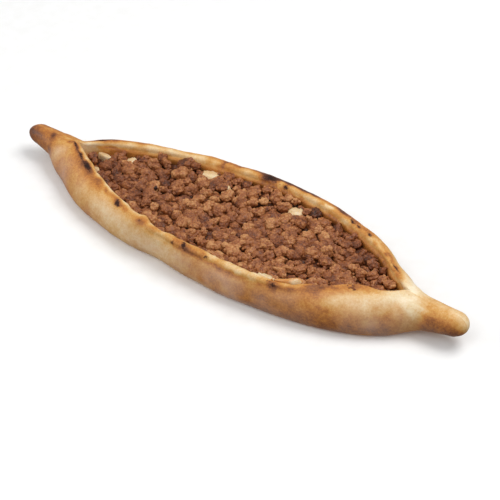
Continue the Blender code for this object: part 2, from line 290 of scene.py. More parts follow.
@dataclass(frozen=True)
class BakedDough:
    """Plain wheat dough, stretched by hand and baked on the stone of a very hot oven.

    The eye sees a matt skin that runs from cream where the dough was folded away from the heat,
    through tan and gold, to brown where it touched the stone, with small scorched blisters. Some of
    the brown low on the walls and under the folded lip is painted shade. Flour and steam leave it
    mottled at a few sizes, and the browner skin is a little glossier.
    """

    name: str = "stone_baked_wheat_dough"
    ladder: Stops = (
        (0.00, "#F3E4C8"),
        (0.20, "#E8CFA4"),
        (0.38, "#DDB57D"),
        (0.54, "#CF9950"),
        (0.68, "#BE7B36"),
        (0.80, "#A0622E"),
        (0.91, "#7C4928"),
        (1.00, "#5A331E"),
    )
    scorch: Stops = ((0.20, "#7A4220"), (0.50, "#4C2512"), (0.95, "#261109"))
    flour: str = "#F0E3DD"
    flour_cover: float = 0.26
    # Blotches, mottling, freckles and pores, each as (size in mm, share of the tone). Real pores
    # are finer than 0.5 mm, which is too fine to show, so the last are drawn coarser.
    mottling: Profile = ((17.0, 0.36), (5.0, 0.28), (1.6, 0.28), (0.9, 0.22))
    pore_mm: float = 0.9
    dimple_mm: float = 3.4
    ragged_mm: float = 1.8
    soot_roughness: float = 0.88
    ior: float = 1.45

    def build(self) -> bpy.types.Material:
        """Builds the node material."""
        material, tree, surface = new_tree(self.name)
        place = add_node(tree, "TexCoord").outputs["Object"]
        baked = add_node(tree, "Attribute", attribute_name=Oven.BAKE.value).outputs["Fac"]
        scorched = add_node(tree, "Attribute", attribute_name=Oven.CHAR.value).outputs["Fac"]
        # Mottling at four sizes is added to how far the dough is baked, and a colour ladder reads it.
        level = baked
        for size_mm, share in self.mottling:
            noise = add_node(
                tree,
                "TexNoise",
                {"Vector": place, "Scale": per_metre(size_mm), "Detail": 2.0, "Roughness": 0.55},
            )
            centred = add_node(tree, "Math", {0: noise.outputs["Fac"], 1: 0.5}, operation="SUBTRACT")
            scaled = add_node(tree, "Math", {0: centred.outputs[0], 1: share}, operation="MULTIPLY")
            level = add_node(tree, "Math", {0: level, 1: scaled.outputs[0]}, operation="ADD").outputs[0]
        bare = add_node(tree, "ValToRGB", {"Fac": level}, self.ladder).outputs["Color"]
        # A thin veil of flour from the bench cools the colour of the walls.
        dusted = add_node(tree, "Attribute", attribute_name=Oven.FLOUR.value).outputs["Fac"]
        veil = add_node(tree, "Math", {0: dusted, 1: self.flour_cover}, operation="MULTIPLY").outputs[0]
        floured = add_node(tree, "Mix", {"Factor": veil, 6: bare, 7: linear(self.flour)}, data_type="RGBA")
        skin = floured.outputs[2]
        # The edge of a scorch is ragged, so a fine noise moves it.
        ragged = add_node(
            tree,
            "TexNoise",
            {"Vector": place, "Scale": per_metre(self.ragged_mm), "Detail": 3.0, "Roughness": 0.7},
        )
        moved = add_node(
            tree, "MapRange", {"Value": ragged.outputs["Fac"], 1: 0.25, 2: 0.75, 3: -0.34, 4: 0.34}
        )
        depth = add_node(tree, "Math", {0: scorched, 1: moved.outputs[0]}, operation="ADD")
        cover = add_node(
            tree, "MapRange", {"Value": depth.outputs[0], 1: 0.16, 2: 0.72}, interpolation_type="SMOOTHSTEP"
        )
        black = add_node(tree, "ValToRGB", {"Fac": depth.outputs[0]}, self.scorch).outputs["Color"]
        shown = add_node(tree, "Mix", {"Factor": cover.outputs[0], 6: skin, 7: black}, data_type="RGBA")
        browned = add_node(tree, "MapRange", {"Value": level, 1: 0.2, 2: 0.9, 3: 0.66, 4: 0.46}).outputs[0]
        sooty = add_node(
            tree, "Math", {0: cover.outputs[0], 1: self.soot_roughness}, operation="MULTIPLY"
        ).outputs[0]
        gloss = add_node(tree, "Math", {0: browned, 1: sooty}, operation="MAXIMUM")
        fine = add_node(
            tree,
            "TexNoise",
            {"Vector": place, "Scale": per_metre(self.pore_mm), "Detail": 4.0, "Roughness": 0.6},
        )
        coarse = add_node(
            tree, "TexNoise", {"Vector": place, "Scale": per_metre(self.dimple_mm), "Detail": 3.0}
        )
        height = add_node(tree, "Mix", {"Factor": 0.55, 2: fine.outputs["Fac"], 3: coarse.outputs["Fac"]})
        relief = add_node(tree, "Bump", {"Height": height.outputs[0], "Strength": 0.42, "Distance": 0.0006})
        shader = add_node(
            tree,
            "BsdfPrincipled",
            {
                "Base Color": shown.outputs[2],
                "Roughness": gloss.outputs[0],
                "Normal": relief.outputs["Normal"],
                "IOR": self.ior,
                "Subsurface Weight": 0.10,
                "Subsurface Radius": (0.9, 0.5, 0.25),
                "Subsurface Scale": 0.003,
                "Specular IOR Level": 0.42,
            },
        )
        tree.links.new(shader.outputs["BSDF"], surface)
        return material


@dataclass(frozen=True)
class MeltedCheese:
    """Mild white cheese, grated over the dough and melted in the oven.

    It sets to a smooth, slightly oily skin that light enters a little way, pale cream with
    yellower thin places, and golden where it toasted.
    """

    name: str = "melted_white_cheese"
    tones: Stops = ((0.25, "#CDA874"), (0.52, "#DDBF92"), (0.78, "#EBD8B6"))
    toasted: str = "#D08F4C"
    cloud_mm: float = 6.0
    grain_mm: float = 1.2
    ior: float = 1.44

    def build(self) -> bpy.types.Material:
        """Builds the node material."""
        material, tree, surface = new_tree(self.name)
        place = add_node(tree, "TexCoord").outputs["Object"]
        cloud = add_node(
            tree, "TexNoise", {"Vector": place, "Scale": per_metre(self.cloud_mm), "Detail": 3.0}
        )
        grain = add_node(
            tree, "TexNoise", {"Vector": place, "Scale": per_metre(self.grain_mm), "Detail": 3.0}
        )
        pale = add_node(tree, "ValToRGB", {"Fac": cloud.outputs["Fac"]}, self.tones).outputs["Color"]
        toast = add_node(tree, "Attribute", attribute_name="toast").outputs["Fac"]
        tone = add_node(tree, "Mix", {"Factor": toast, 6: pale, 7: linear(self.toasted)}, data_type="RGBA")
        wet = add_node(tree, "MapRange", {"Value": grain.outputs["Fac"], 1: 0.3, 2: 0.7, 3: 0.20, 4: 0.42})
        relief = add_node(
            tree, "Bump", {"Height": grain.outputs["Fac"], "Strength": 0.22, "Distance": 0.0005}
        )
        shader = add_node(
            tree,
            "BsdfPrincipled",
            {
                "Base Color": tone.outputs[2],
                "Roughness": wet.outputs[0],
                "Normal": relief.outputs["Normal"],
                "IOR": self.ior,
                "Subsurface Weight": 0.25,
                "Subsurface Radius": (1.0, 0.75, 0.4),
                "Subsurface Scale": 0.004,
                "Coat Weight": 0.25,
                "Coat Roughness": 0.12,
            },
        )
        tree.links.new(shader.outputs["BSDF"], surface)
        return material


@dataclass(frozen=True)
class FriedMince:
    """Minced beef and lamb, fried loose and then baked on the bread.

    Each crumb is a knot of short strands with light matt brown tops. The creases between the strands
    and the undersides of the crumbs are painted dark red-brown as painted shade, and fat gives small
    soft glints.
    """

    name: str = "fried_minced_meat"
    tones: Stops = (
        (0.14, "#301508"),
        (0.36, "#63300F"),
        (0.59, "#894D26"),
        (0.80, "#A8693A"),
        (1.00, "#C68F5A"),
    )
    strand_mm: float = 2.6
    grain_mm: float = 1.4
    # The real fibres are finer than this, but would be too fine to show.
    speck_mm: float = 0.8
    crease_shade_share: float = 0.46
    shares: tuple[float, float, float] = (0.40, 0.46, 0.44)
    ior: float = 1.45

    def build(self) -> bpy.types.Material:
        """Builds the node material."""
        material, tree, surface = new_tree(self.name)
        place = add_node(tree, "TexCoord").outputs["Object"]
        tone = add_node(tree, "Attribute", attribute_name="tone").outputs["Fac"]
        proud = add_node(tree, "Attribute", attribute_name="proud").outputs["Fac"]
        strand = add_node(
            tree,
            "TexNoise",
            {"Vector": place, "Scale": per_metre(self.strand_mm), "Detail": 2.0, "Distortion": 0.6},
        )
        grain = add_node(
            tree,
            "TexNoise",
            {"Vector": place, "Scale": per_metre(self.grain_mm), "Detail": 3.0, "Roughness": 0.6},
        )
        # Proud points come out lighter, and creases and undersides darker: painted shade.
        level = add_node(
            tree, "Math", {0: proud, 1: self.crease_shade_share, 2: tone}, operation="MULTIPLY_ADD"
        ).outputs[0]
        speck = add_node(
            tree,
            "TexNoise",
            {"Vector": place, "Scale": per_metre(self.speck_mm), "Detail": 2.0, "Roughness": 0.6},
        )
        for noise, share in zip((strand, grain, speck), self.shares):
            centred = add_node(tree, "Math", {0: noise.outputs["Fac"], 1: 0.5}, operation="SUBTRACT")
            scaled = add_node(tree, "Math", {0: centred.outputs[0], 1: share}, operation="MULTIPLY")
            level = add_node(tree, "Math", {0: level, 1: scaled.outputs[0]}, operation="ADD").outputs[0]
        color = add_node(tree, "ValToRGB", {"Fac": level}, self.tones)
        wet = add_node(
            tree, "MapRange", {"Value": strand.outputs["Fac"], 1: 0.35, 2: 0.65, 3: 0.40, 4: 0.66}
        )
        height = add_node(tree, "Mix", {"Factor": 0.5, 2: strand.outputs["Fac"], 3: grain.outputs["Fac"]})
        relief = add_node(tree, "Bump", {"Height": height.outputs[0], "Strength": 0.9, "Distance": 0.0014})
        shader = add_node(
            tree,
            "BsdfPrincipled",
            {
                "Base Color": color.outputs["Color"],
                "Roughness": wet.outputs[0],
                "Normal": relief.outputs["Normal"],
                "IOR": self.ior,
                "Subsurface Weight": 0.06,
                "Subsurface Radius": (1.0, 0.35, 0.2),
                "Subsurface Scale": 0.0015,
                "Coat Weight": 0.08,
                "Coat Roughness": 0.28,
            },
        )
        tree.links.new(shader.outputs["BSDF"], surface)
        return material


@dataclass(frozen=True)
class PaperSweep:
    """The matt white paper of a studio sweep, which shows a faint tooth and nothing else."""

    name: str = "white_studio_paper"
    tones: Stops = ((0.3, "#F4F4F3"), (0.7, "#F8F8F8"))
    tooth_mm: float = 12.0
    roughness: float = 0.9

    def build(self) -> bpy.types.Material:
        """Builds the node material."""
        material, tree, surface = new_tree(self.name)
        place = add_node(tree, "TexCoord").outputs["Object"]
        tooth = add_node(
            tree, "TexNoise", {"Vector": place, "Scale": per_metre(self.tooth_mm), "Detail": 2.0}
        )
        tone = add_node(tree, "ValToRGB", {"Fac": tooth.outputs["Fac"]}, self.tones)
        shader = add_node(
            tree,
            "BsdfPrincipled",
            {"Base Color": tone.outputs["Color"], "Roughness": self.roughness, "Specular IOR Level": 0.1},
        )
        tree.links.new(shader.outputs["BSDF"], surface)
        return material


# ---------------------------------------------------------------------------
# The form of the bread
# ---------------------------------------------------------------------------


@dataclass(frozen=True)
class BreadForm:
    """The true form of the dough: two walls that fold inwards and meet in a rolled nub at each end.

    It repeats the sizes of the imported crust. Each method takes places along X as an array. The
    pairs rim_reach, lip_radius and inner_slope are for the near and far wall, and the other pairs
    for the left and right nub.
    """

    half_length: float = 0.210
    opening_half: float = 0.161
    rim_reach: tuple[float, float] = (0.054, 0.0554)
    belly_reach: float = 0.0625
    rim_top: float = 0.028
    belly_top: float = 0.010
    floor_top: float = 0.0055

    left_rim: tuple[float, float] = (1.9, 1.0)
    near_right_rim: tuple[float, float] = (3.0, 0.80)
    far_right_rim: tuple[float, float] = (2.3, 0.85)
    left_belly: tuple[float, float, float] = (0.182, 2.3, 0.85)
    right_belly: tuple[float, float, float] = (0.178, 3.0, 0.62)
    least_rim: float = 0.0022

    base_inset: float = 0.0070
    base_share: float = 0.3
    lip_radius: tuple[float, float] = (0.0026, 0.0066)
    lip_share: float = 0.4
    inner_slope: tuple[float, float] = (0.0062, 0.0024)
    inner_hollow: float = 1.5
    foot_share: float = 0.3
    least_lean: float = 0.002

    far_wall_width: float = 0.0084
    far_wall_gain: float = 0.0030
    far_wall_loss: float = 0.006
    far_gain_start: float = 0.060
    far_gain_end: float = 0.150
    far_loss_end: float = 0.166

    end_slope: float = 0.015
    floor_dip: float = 0.0003

    neck_radius: tuple[float, float] = (0.0139, 0.0140)
    tip_radius: tuple[float, float] = (0.0074, 0.0088)
    tip_rounding: tuple[float, float] = (0.0115, 0.0110)
    nub_top: tuple[float, float] = (0.0251, 0.0250)
    nub_lift: tuple[float, float] = (0.0100, 0.0083)
    nub_lift_start: tuple[float, float] = (0.162, 0.167)
    neck_start: float = 0.156
    neck_end: float = 0.186
    top_blend_start: float = 0.150
    top_blend_end: float = 0.185
    roll_start: float = 0.165
    neck_reach: float = 0.010

    near_belly_swells: Swells = (
        (-0.172, 0.016, 0.0058),
        (-0.125, 0.030, 0.0025),
        (-0.028, 0.020, -0.0036),
        (0.036, 0.016, 0.0014),
    )
    far_belly_swells: Swells = ((-0.166, 0.012, -0.0045), (0.1585, 0.006, 0.0036), (0.172, 0.006, -0.0012))
    near_rim_swells: Swells = (
        (-0.058, 0.008, 0.0022),
        (-0.045, 0.005, -0.0022),
        (-0.030, 0.022, 0.0018),
        (0.070, 0.016, 0.0016),
        (0.122, 0.026, -0.0080),
        (0.132, 0.010, -0.0036),
    )
    far_rim_swells: Swells = ((-0.035, 0.030, -0.0018), (0.138, 0.012, -0.0020))
    near_top_swells: Swells = (
        (-0.172, 0.010, 0.0050),
        (-0.150, 0.025, 0.0010),
        (-0.045, 0.006, 0.0010),
        (0.140, 0.030, 0.0015),
    )
    far_top_swells: Swells = (
        (-0.156, 0.010, -0.0028),
        (-0.136, 0.018, 0.0012),
        (-0.045, 0.045, -0.0008),
        (0.143, 0.016, -0.0010),
    )

    crease_depth: float = 0.0013
    crease_angle: float = math.radians(52.0)
    crease_spread: float = math.radians(13.0)
    crease_from: float = -0.048
    crease_to: float = 0.108
    crease_fade: float = 0.03

    roll_shoulder: float = math.radians(62.0)
    roll_base: float = math.radians(48.0)

    # Points of each stretch of a section. The shares 4, 3, 6, 4, 3, 4 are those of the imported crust.
    base_steps: int = 16
    low_steps: int = 12
    wall_steps: int = 24
    lip_steps: int = 16
    inner_steps: int = 12
    floor_steps: int = 16

    @property
    def around(self) -> int:
        """How many points a section has."""
        wall = self.low_steps + self.wall_steps + self.lip_steps + self.inner_steps
        return 2 * wall + self.base_steps + self.floor_steps

    def far_crest(self) -> int:
        """Which point of a section is the crest of the far rim."""
        return self.base_steps // 2 + self.low_steps + self.wall_steps

    def near_crest(self) -> int:
        """Which point of a section is the crest of the near rim."""
        return self.around - self.far_crest()

    def lens(self, x: Array, half: float, fullness: float, bluntness: float) -> Array:
        """1 in the middle and 0 at half: one side of a pointed oval."""
        t = np.minimum(1.0, np.abs(x) / half)
        return (1.0 - t**fullness) ** bluntness

    def at_end(self, pair: tuple[float, float], x: Array) -> Array:
        """The value of a (left, right) pair for the end that each x is on."""
        return np.where(x < 0.0, pair[0], pair[1])

    def of_wall(self, pair: tuple[float, float], side: Side) -> float:
        """The value of a (near, far) pair for a wall."""
        return pair[0] if side is Side.NEAR else pair[1]

    def tip_scale(self, x: Array) -> Array:
        """1 along the bread, falling to 0 round the tip of a nub."""
        rounding = self.at_end(self.tip_rounding, x)
        past = np.maximum(0.0, np.abs(x) - (self.half_length - rounding))
        return np.sqrt(np.maximum(0.0, 1.0 - (past / rounding) ** 2))

    def roll_radius(self, x: Array) -> Array:
        """Half width of the rolled nub, without the rounding of its tip."""
        last = self.half_length - self.at_end(self.tip_rounding, x)
        along = np.clip((np.abs(x) - self.roll_start) / (last - self.roll_start), 0.0, 1.0)
        return self.at_end(self.neck_radius, x) * (1.0 - along) + self.at_end(self.tip_radius, x) * along

    def rim_line(self, x: Array, side: Side) -> Array:
        """Distance of the rim's crest from the axis."""
        right = self.near_right_rim if side is Side.NEAR else self.far_right_rim
        left_part = self.lens(x, self.opening_half, *self.left_rim)
        right_part = self.lens(x, self.opening_half, *right)
        width = self.of_wall(self.rim_reach, side) * np.where(x < 0.0, left_part, right_part)
        width += swell(x, self.near_rim_swells if side is Side.NEAR else self.far_rim_swells)
        return np.maximum(width, self.least_rim)

    def belly_line(self, x: Array, side: Side) -> Array:
        """Distance of the widest line of the outer face from the axis."""
        roll = self.roll_radius(x)
        if side is Side.NEAR:
            oval = np.where(x < 0.0, self.lens(x, *self.left_belly), self.lens(x, *self.right_belly))
            width = self.belly_reach * oval + swell(x, self.near_belly_swells)
        else:
            width = self.rim_line(x, side) + self.far_wall_width
            width += self.far_wall_gain * smooth_step(self.far_gain_start, self.far_gain_end, np.abs(x))
            width -= self.far_wall_loss * smooth_step(self.far_gain_end, self.far_loss_end, np.abs(x))
            roll = roll + swell(x, self.far_belly_swells)
        near_each_other = np.maximum(0.0, self.neck_reach - np.abs(width - roll)) / self.neck_reach
        return np.maximum(width, roll) + near_each_other**2 * self.neck_reach * 0.25

    def crest_height(self, x: Array, side: Side) -> Array:
        """Height of the rim's crest, which runs on into the top of the nub."""
        height = self.rim_top + swell(x, self.near_top_swells if side is Side.NEAR else self.far_top_swells)
        share = smooth_step(self.top_blend_start, self.top_blend_end, np.abs(x))
        return height + (self.at_end(self.nub_top, x) - height) * share

    def underside(self, x: Array) -> Array:
        """Height of the underside: flat on the table, lifted under the nubs."""
        start = self.at_end(self.nub_lift_start, x)
        along = np.clip((np.abs(x) - start) / (self.half_length - start), 0.0, 1.0)
        return self.at_end(self.nub_lift, x) * along * along * (3.0 - 2.0 * along)

    def trough_depth(self, x: Array) -> Array:
        """0 at the ends of the opening, 1 where the floor is at its full depth."""
        return smooth_step(0.0, self.end_slope, self.opening_half - np.abs(x))

    def floor_height(self, x: Array) -> Array:
        """Height of the dough floor inside the walls."""
        top = np.minimum(self.crest_height(x, Side.NEAR), self.crest_height(x, Side.FAR))
        return top - self.floor_dip - (top - self.floor_top) * self.trough_depth(x)

    def inner_foot(self, x: Array, side: Side) -> Array:
        """Distance of the foot of the inner face from the axis."""
        crest = self.rim_line(x, side)
        inset = self.of_wall(self.lip_radius, side) + self.of_wall(self.inner_slope, side)
        return np.maximum(crest - inset, self.foot_share * crest)

    def inner_face(self, x: Array, side: Side) -> tuple[Array, Array]:
        """The inner face of a wall, from the rim's crest down to just above its foot.

        Args:
            x: places along X.
            side: the wall.

        Returns:
            Distance from the axis and height, one row for each x.
        """
        depth = self.trough_depth(x)[:, None]
        crest_y = self.rim_line(x, side)[:, None]
        crest_z = self.crest_height(x, side)[:, None]
        lip = np.minimum(self.of_wall(self.lip_radius, side), self.lip_share * crest_y)
        drop = lip * np.minimum(1.0, 2.0 * depth)
        angle = QUARTER_TURN * np.arange(self.lip_steps)[None, :] / self.lip_steps
        lip_y = crest_y - lip * np.sin(angle)
        lip_z = crest_z - drop * (1.0 - np.cos(angle))
        foot_y = self.inner_foot(x, side)[:, None]
        foot_z = self.floor_height(x)[:, None]
        t = np.arange(self.inner_steps)[None, :] / self.inner_steps
        face_y = (crest_y - lip) + (foot_y - crest_y + lip) * t**self.inner_hollow
        face_z = (crest_z - drop) + (foot_z - crest_z + drop) * np.sin(QUARTER_TURN * t)
        return np.concatenate([lip_y, face_y], axis=1), np.concatenate([lip_z, face_z], axis=1)

    def outer_face(self, x: Array, side: Side) -> tuple[Array, Array]:
        """The outer face of a wall, from the edge of the base up to just under the rim's crest.

        Args:
            x: places along X.
            side: the wall.

        Returns:
            Distance from the axis and height, one row for each x.
        """
        belly = self.belly_line(x, side)[:, None]
        crest_y = np.minimum(self.rim_line(x, side)[:, None], belly - self.least_lean)
        crest_z = self.crest_height(x, side)[:, None]
        base_y = np.maximum(belly - self.base_inset, self.base_share * belly)
        base_z = self.underside(x)[:, None]
        folded = smooth_step(self.crease_from, self.crease_from + self.crease_fade, x)
        folded = (folded * smooth_step(-self.crease_to, self.crease_fade - self.crease_to, -x))[:, None]
        low = QUARTER_TURN * (1.0 - np.arange(self.low_steps)[None, :] / self.low_steps)
        low_y = base_y + (belly - base_y) * np.cos(low)
        low_z = self.belly_top - (self.belly_top - base_z) * np.sin(low)
        angle = QUARTER_TURN * np.arange(self.wall_steps)[None, :] / self.wall_steps
        crease = self.crease_depth * folded * bump(angle, self.crease_angle, self.crease_spread)
        wall_y = crest_y + (belly - crest_y) * np.cos(angle) - crease
        wall_z = self.belly_top + (crest_z - self.belly_top) * np.sin(angle)
        return np.concatenate([low_y, wall_y], axis=1), np.concatenate([low_z, wall_z], axis=1)

    def boat_section(self, x: Array) -> tuple[Array, Array]:
        """Sections of the dough where it is a boat, starting in the middle of the base.

        Args:
            x: places along X.

        Returns:
            Y and Z, one row for each x, round by the far side.
        """
        far, near = (
            [np.concatenate(pair, axis=1) for pair in zip(self.outer_face(x, wall), self.inner_face(x, wall))]
            for wall in (Side.FAR, Side.NEAR)
        )
        t = np.arange(self.base_steps // 2)[None, :] / (self.base_steps // 2)
        base_y = 0.5 * (far[0][:, :1] - near[0][:, :1])
        base_z = self.underside(x)[:, None]
        to_far = base_y + (far[0][:, :1] - base_y) * t
        from_near = -near[0][:, :1] + (base_y + near[0][:, :1]) * t[:, 1:]
        s = np.arange(self.floor_steps + 1)[None, :] / self.floor_steps
        foot_far = self.inner_foot(x, Side.FAR)[:, None]
        foot_near = -self.inner_foot(x, Side.NEAR)[:, None]
        floor_y = foot_far + (foot_near - foot_far) * s
        floor_z = self.floor_height(x)[:, None] + 0.0 * s
        y = np.concatenate([to_far, far[0], floor_y, -near[0][:, ::-1], from_near], axis=1)
        z = np.concatenate(
            [base_z + 0.0 * to_far, far[1], floor_z, near[1][:, ::-1], base_z + 0.0 * from_near], axis=1
        )
        return y, z

    def roll_section(self, x: Array) -> tuple[Array, Array]:
        """The same points as boat_section has, round the oval of the rolled nub.

        Args:
            x: places along X.

        Returns:
            Y and Z, one row for each x.
        """
        bottom = self.underside(x)[:, None]
        radius_z = 0.5 * (self.crest_height(x, Side.NEAR)[:, None] - bottom)
        low = QUARTER_TURN - self.roll_base
        half_base = self.base_steps // 2
        base = -QUARTER_TURN + self.roll_base * np.arange(half_base) / half_base
        rise = -low * (1.0 - np.arange(self.low_steps) / self.low_steps)
        wall = self.roll_shoulder * np.arange(self.wall_steps) / self.wall_steps
        crown_steps = 2 * (self.lip_steps + self.inner_steps) + self.floor_steps
        over = HALF_TURN - 2.0 * self.roll_shoulder
        crown = self.roll_shoulder + over * np.arange(crown_steps + 1) / crown_steps
        half = np.concatenate([rise, wall])
        back = [HALF_TURN - half[::-1], HALF_TURN - base[:0:-1]]
        angle = np.concatenate([base, half, crown, *back])[None, :]
        far = self.belly_line(x, Side.FAR)[:, None]
        near = self.belly_line(x, Side.NEAR)[:, None]
        y = np.where(np.cos(angle) > 0.0, far, near) * np.cos(angle)
        return y, bottom + radius_z * (1.0 + np.sin(angle))

    def section(self, x: Array) -> tuple[Array, Array]:
        """Sections of the dough anywhere: the boat, turning into the roll past the opening.

        Args:
            x: places along X.

        Returns:
            Y and Z, one row for each x.
        """
        share = smooth_step(self.neck_start, self.neck_end, np.abs(x))[:, None]
        boat_y, boat_z = self.boat_section(x)
        roll_y, roll_z = self.roll_section(x)
        middle = 0.5 * (self.underside(x) + self.crest_height(x, Side.NEAR))[:, None]
        scale = self.tip_scale(x)[:, None]
        y = (boat_y + (roll_y - boat_y) * share) * scale
        z = middle + (boat_z + (roll_z - boat_z) * share - middle) * scale
        return y, z

    def wall_at(self, x: Array, side: Side, height: Array) -> Array:
        """Distance of the inner face from the axis at the given heights, one for each x."""
        y, z = self.inner_face(x, side)
        y = np.concatenate([y, self.inner_foot(x, side)[:, None]], axis=1)
        z = np.concatenate([z, self.floor_height(x)[:, None]], axis=1)
        found = [np.interp(h, row_z[::-1], row_y[::-1]) for h, row_y, row_z in zip(height, y, z)]
        return np.array(found)


# ---------------------------------------------------------------------------
# The crust
# ---------------------------------------------------------------------------


@dataclass(frozen=True)
class OvenMark:
    """A spot that the oven coloured more or less than its surroundings, in millimetres.

    Attributes:
        kind: whether it is baked or charred.
        side: the wall that it is on.
        place: where it is along X.
        below: how far it lies from the crest of the rim, down the outer face if above 0 and down
            the inner face if below 0.
        length: its reach along X.
        width: its reach across.
        amount: how strong it is, below 0 for a paler spot.
        slant: how much further down it lies for each millimetre along X.
        lift: how far the skin is blistered up.
    """

    kind: Oven
    side: Side
    place: float
    below: float
    length: float
    width: float
    amount: float
    slant: float = 0.0
    lift: float = 0.0


@dataclass(frozen=True)
class BakeBand:
    """How far the dough is baked along a line that follows the rim.

    Attributes:
        below: how far the line lies from the crest of the rim, in millimetres, down the outer face
            if above 0 and down the inner face if below 0.
        levels: the bake level, from 0 to 1, at places along X in millimetres.
    """

    below: float
    levels: Profile


# The near wall's levels hold painted shade as well as browning. The bands 27 and 36 mm down are darker partly
# from real browning on the stone and partly as painted shade under the bulging wall. The bands 8 and 17 mm
# down are darker from about 0 to 110 mm, partly as painted shadow under the folded lip.
NEAR_BANDS: tuple[BakeBand, ...] = (
    BakeBand(
        -16.0,
        (
            (-210, 0.60), (-150, 0.45), (0, 0.60), (150, 0.40), (175, 0.40), (210, 0.30),
        ),
    ),
    BakeBand(
        -6.0,
        (
            (-210, 0.72), (-180, 0.76), (-160, 0.52), (0, 0.60), (150, 0.40), (162, 0.20), (180, 0.52),
            (210, 0.26),
        ),
    ),
    # In this band the pale run from about -130 to -70 mm is a painted highlight on the lit inner edge of the
    # rim.
    BakeBand(
        -1.0,
        (
            (-210, 0.86), (-180, 0.75), (-160, 0.47), (-130, 0.34), (-70, 0.28), (-50, 0.46), (-20, 0.44),
            (0, 0.50), (30, 0.44), (60, 0.46), (100, 0.64), (125, 0.70), (145, 0.56), (158, 0.30),
            (168, 0.10), (180, 0.54), (210, 0.40),
        ),
    ),
    BakeBand(
        2.0,
        (
            (-210, 0.92), (-192, 0.88), (-178, 0.72), (-164, 0.57), (-150, 0.57), (-120, 0.54),
            (-110, 0.60), (-100, 0.60), (-70, 0.60), (-40, 0.58), (-20, 0.52), (10, 0.54), (40, 0.46),
            (60, 0.44), (80, 0.58), (100, 0.72), (125, 0.76), (143, 0.60), (156, 0.20), (166, 0.08),
            (174, 0.16), (184, 0.56), (198, 0.58), (210, 0.50),
        ),
    ),
    BakeBand(
        8.0,
        (
            (-210, 0.94), (-190, 0.78), (-176, 0.66), (-160, 0.54), (-140, 0.66), (-120, 0.61),
            (-105, 0.58), (-85, 0.40), (-60, 0.34), (-35, 0.40), (-10, 0.48), (10, 0.56), (35, 0.62),
            (60, 0.64), (85, 0.69), (110, 0.66), (130, 0.46), (150, 0.26), (163, 0.08), (172, 0.18),
            (182, 0.68), (196, 0.78), (210, 0.78),
        ),
    ),
    BakeBand(
        17.0,
        (
            (-210, 0.92), (-185, 0.74), (-165, 0.54), (-140, 0.67), (-125, 0.65), (-110, 0.49),
            (-80, 0.31), (-50, 0.34), (-20, 0.44), (5, 0.54), (30, 0.68), (60, 0.72), (85, 0.73),
            (105, 0.70), (125, 0.46), (145, 0.36), (162, 0.44), (180, 0.80), (210, 0.88),
        ),
    ),
    BakeBand(
        27.0,
        (
            (-210, 0.88), (-170, 0.66), (-110, 0.58), (-50, 0.50), (0, 0.58), (40, 0.72), (80, 0.78),
            (105, 0.76), (118, 0.68), (125, 0.64), (132, 0.61), (150, 0.60), (165, 0.64), (180, 0.82),
            (210, 0.94),
        ),
    ),
    BakeBand(
        36.0,
        (
            (-210, 0.86), (-120, 0.66), (-40, 0.62), (10, 0.70), (60, 0.82), (110, 0.82), (120, 0.80),
            (140, 0.75), (165, 0.76), (210, 0.94),
        ),
    ),
)

# On the far wall's inner face the bands 9 and 16 mm down are darker and redder next to the mince. This is
# partly a real stain from the mince's juice and partly painted shade with a painted warm reflection of the
# mince. The pale run near -155 mm in the bands 9, 5 and 2 mm down is painted light in the shaded corner by
# the left end of the opening.
FAR_BANDS: tuple[BakeBand, ...] = (
    BakeBand(
        -16.0,
        (
            (-150, 0.66), (-100, 0.80), (0, 0.82), (100, 0.82), (150, 0.74),
        ),
    ),
    BakeBand(
        -9.0,
        (
            (-210, 0.66), (-172, 0.66), (-158, 0.22), (-155, 0.16), (-150, 0.34), (-146, 0.28),
            (-130, 0.66), (-120, 0.72), (-85, 0.64), (-60, 0.72), (-30, 0.68), (20, 0.72), (60, 0.78),
            (76, 0.68), (90, 0.75), (140, 0.72), (158, 0.40), (210, 0.30),
        ),
    ),
    BakeBand(
        -5.0,
        (
            (-210, 0.70), (-172, 0.66), (-168, 0.64), (-155, 0.12), (-148, 0.18), (-135, 0.50),
            (-120, 0.42), (-100, 0.40), (-85, 0.38), (-55, 0.60), (-45, 0.64), (-20, 0.46), (0, 0.44),
            (20, 0.46), (30, 0.40), (34, 0.30), (48, 0.44), (60, 0.66), (76, 0.32), (84, 0.54), (90, 0.56),
            (110, 0.54), (128, 0.34), (140, 0.47), (156, 0.26), (166, 0.04), (178, 0.46), (210, 0.22),
        ),
    ),
    BakeBand(
        -2.0,
        (
            (-210, 0.72), (-172, 0.70), (-166, 0.68), (-160, 0.56), (-154, 0.30), (-148, 0.32),
            (-135, 0.64), (-118, 0.56), (-100, 0.36), (-85, 0.40), (-55, 0.56), (-45, 0.60), (-20, 0.48),
            (-10, 0.50), (30, 0.42), (60, 0.44), (90, 0.54), (128, 0.42), (140, 0.54), (156, 0.16),
            (164, 0.02), (176, 0.44), (210, 0.26),
        ),
    ),
    BakeBand(
        0.5,
        (
            (-210, 0.76), (-174, 0.72), (-165, 0.70), (-158, 0.62), (-145, 0.86), (-132, 0.80),
            (-120, 0.74), (-100, 0.62), (-85, 0.60), (-45, 0.68), (-20, 0.80), (0, 0.90), (50, 0.86),
            (85, 0.80), (100, 0.66), (135, 0.62), (150, 0.34), (162, 0.04), (178, 0.46), (210, 0.34),
        ),
    ),
    BakeBand(
        6.0,
        (
            (-210, 0.66), (-176, 0.70), (-160, 0.66), (-150, 0.54), (0, 0.66), (100, 0.58), (150, 0.34),
            (160, 0.10), (185, 0.50), (210, 0.56),
        ),
    ),
    BakeBand(
        18.0,
        (
            (-210, 0.62), (-100, 0.44), (0, 0.52), (100, 0.46), (165, 0.38), (210, 0.64),
        ),
    ),
    BakeBand(
        34.0,
        (
            (-210, 0.72), (0, 0.74), (210, 0.78),
        ),
    ),
)

def marks(kind: Oven, side: Side, *rows: tuple[float, ...]) -> tuple[OvenMark, ...]:
    """The marks of one kind on one wall, from rows of their other values in order."""
    return tuple(OvenMark(kind, side, *row) for row in rows)


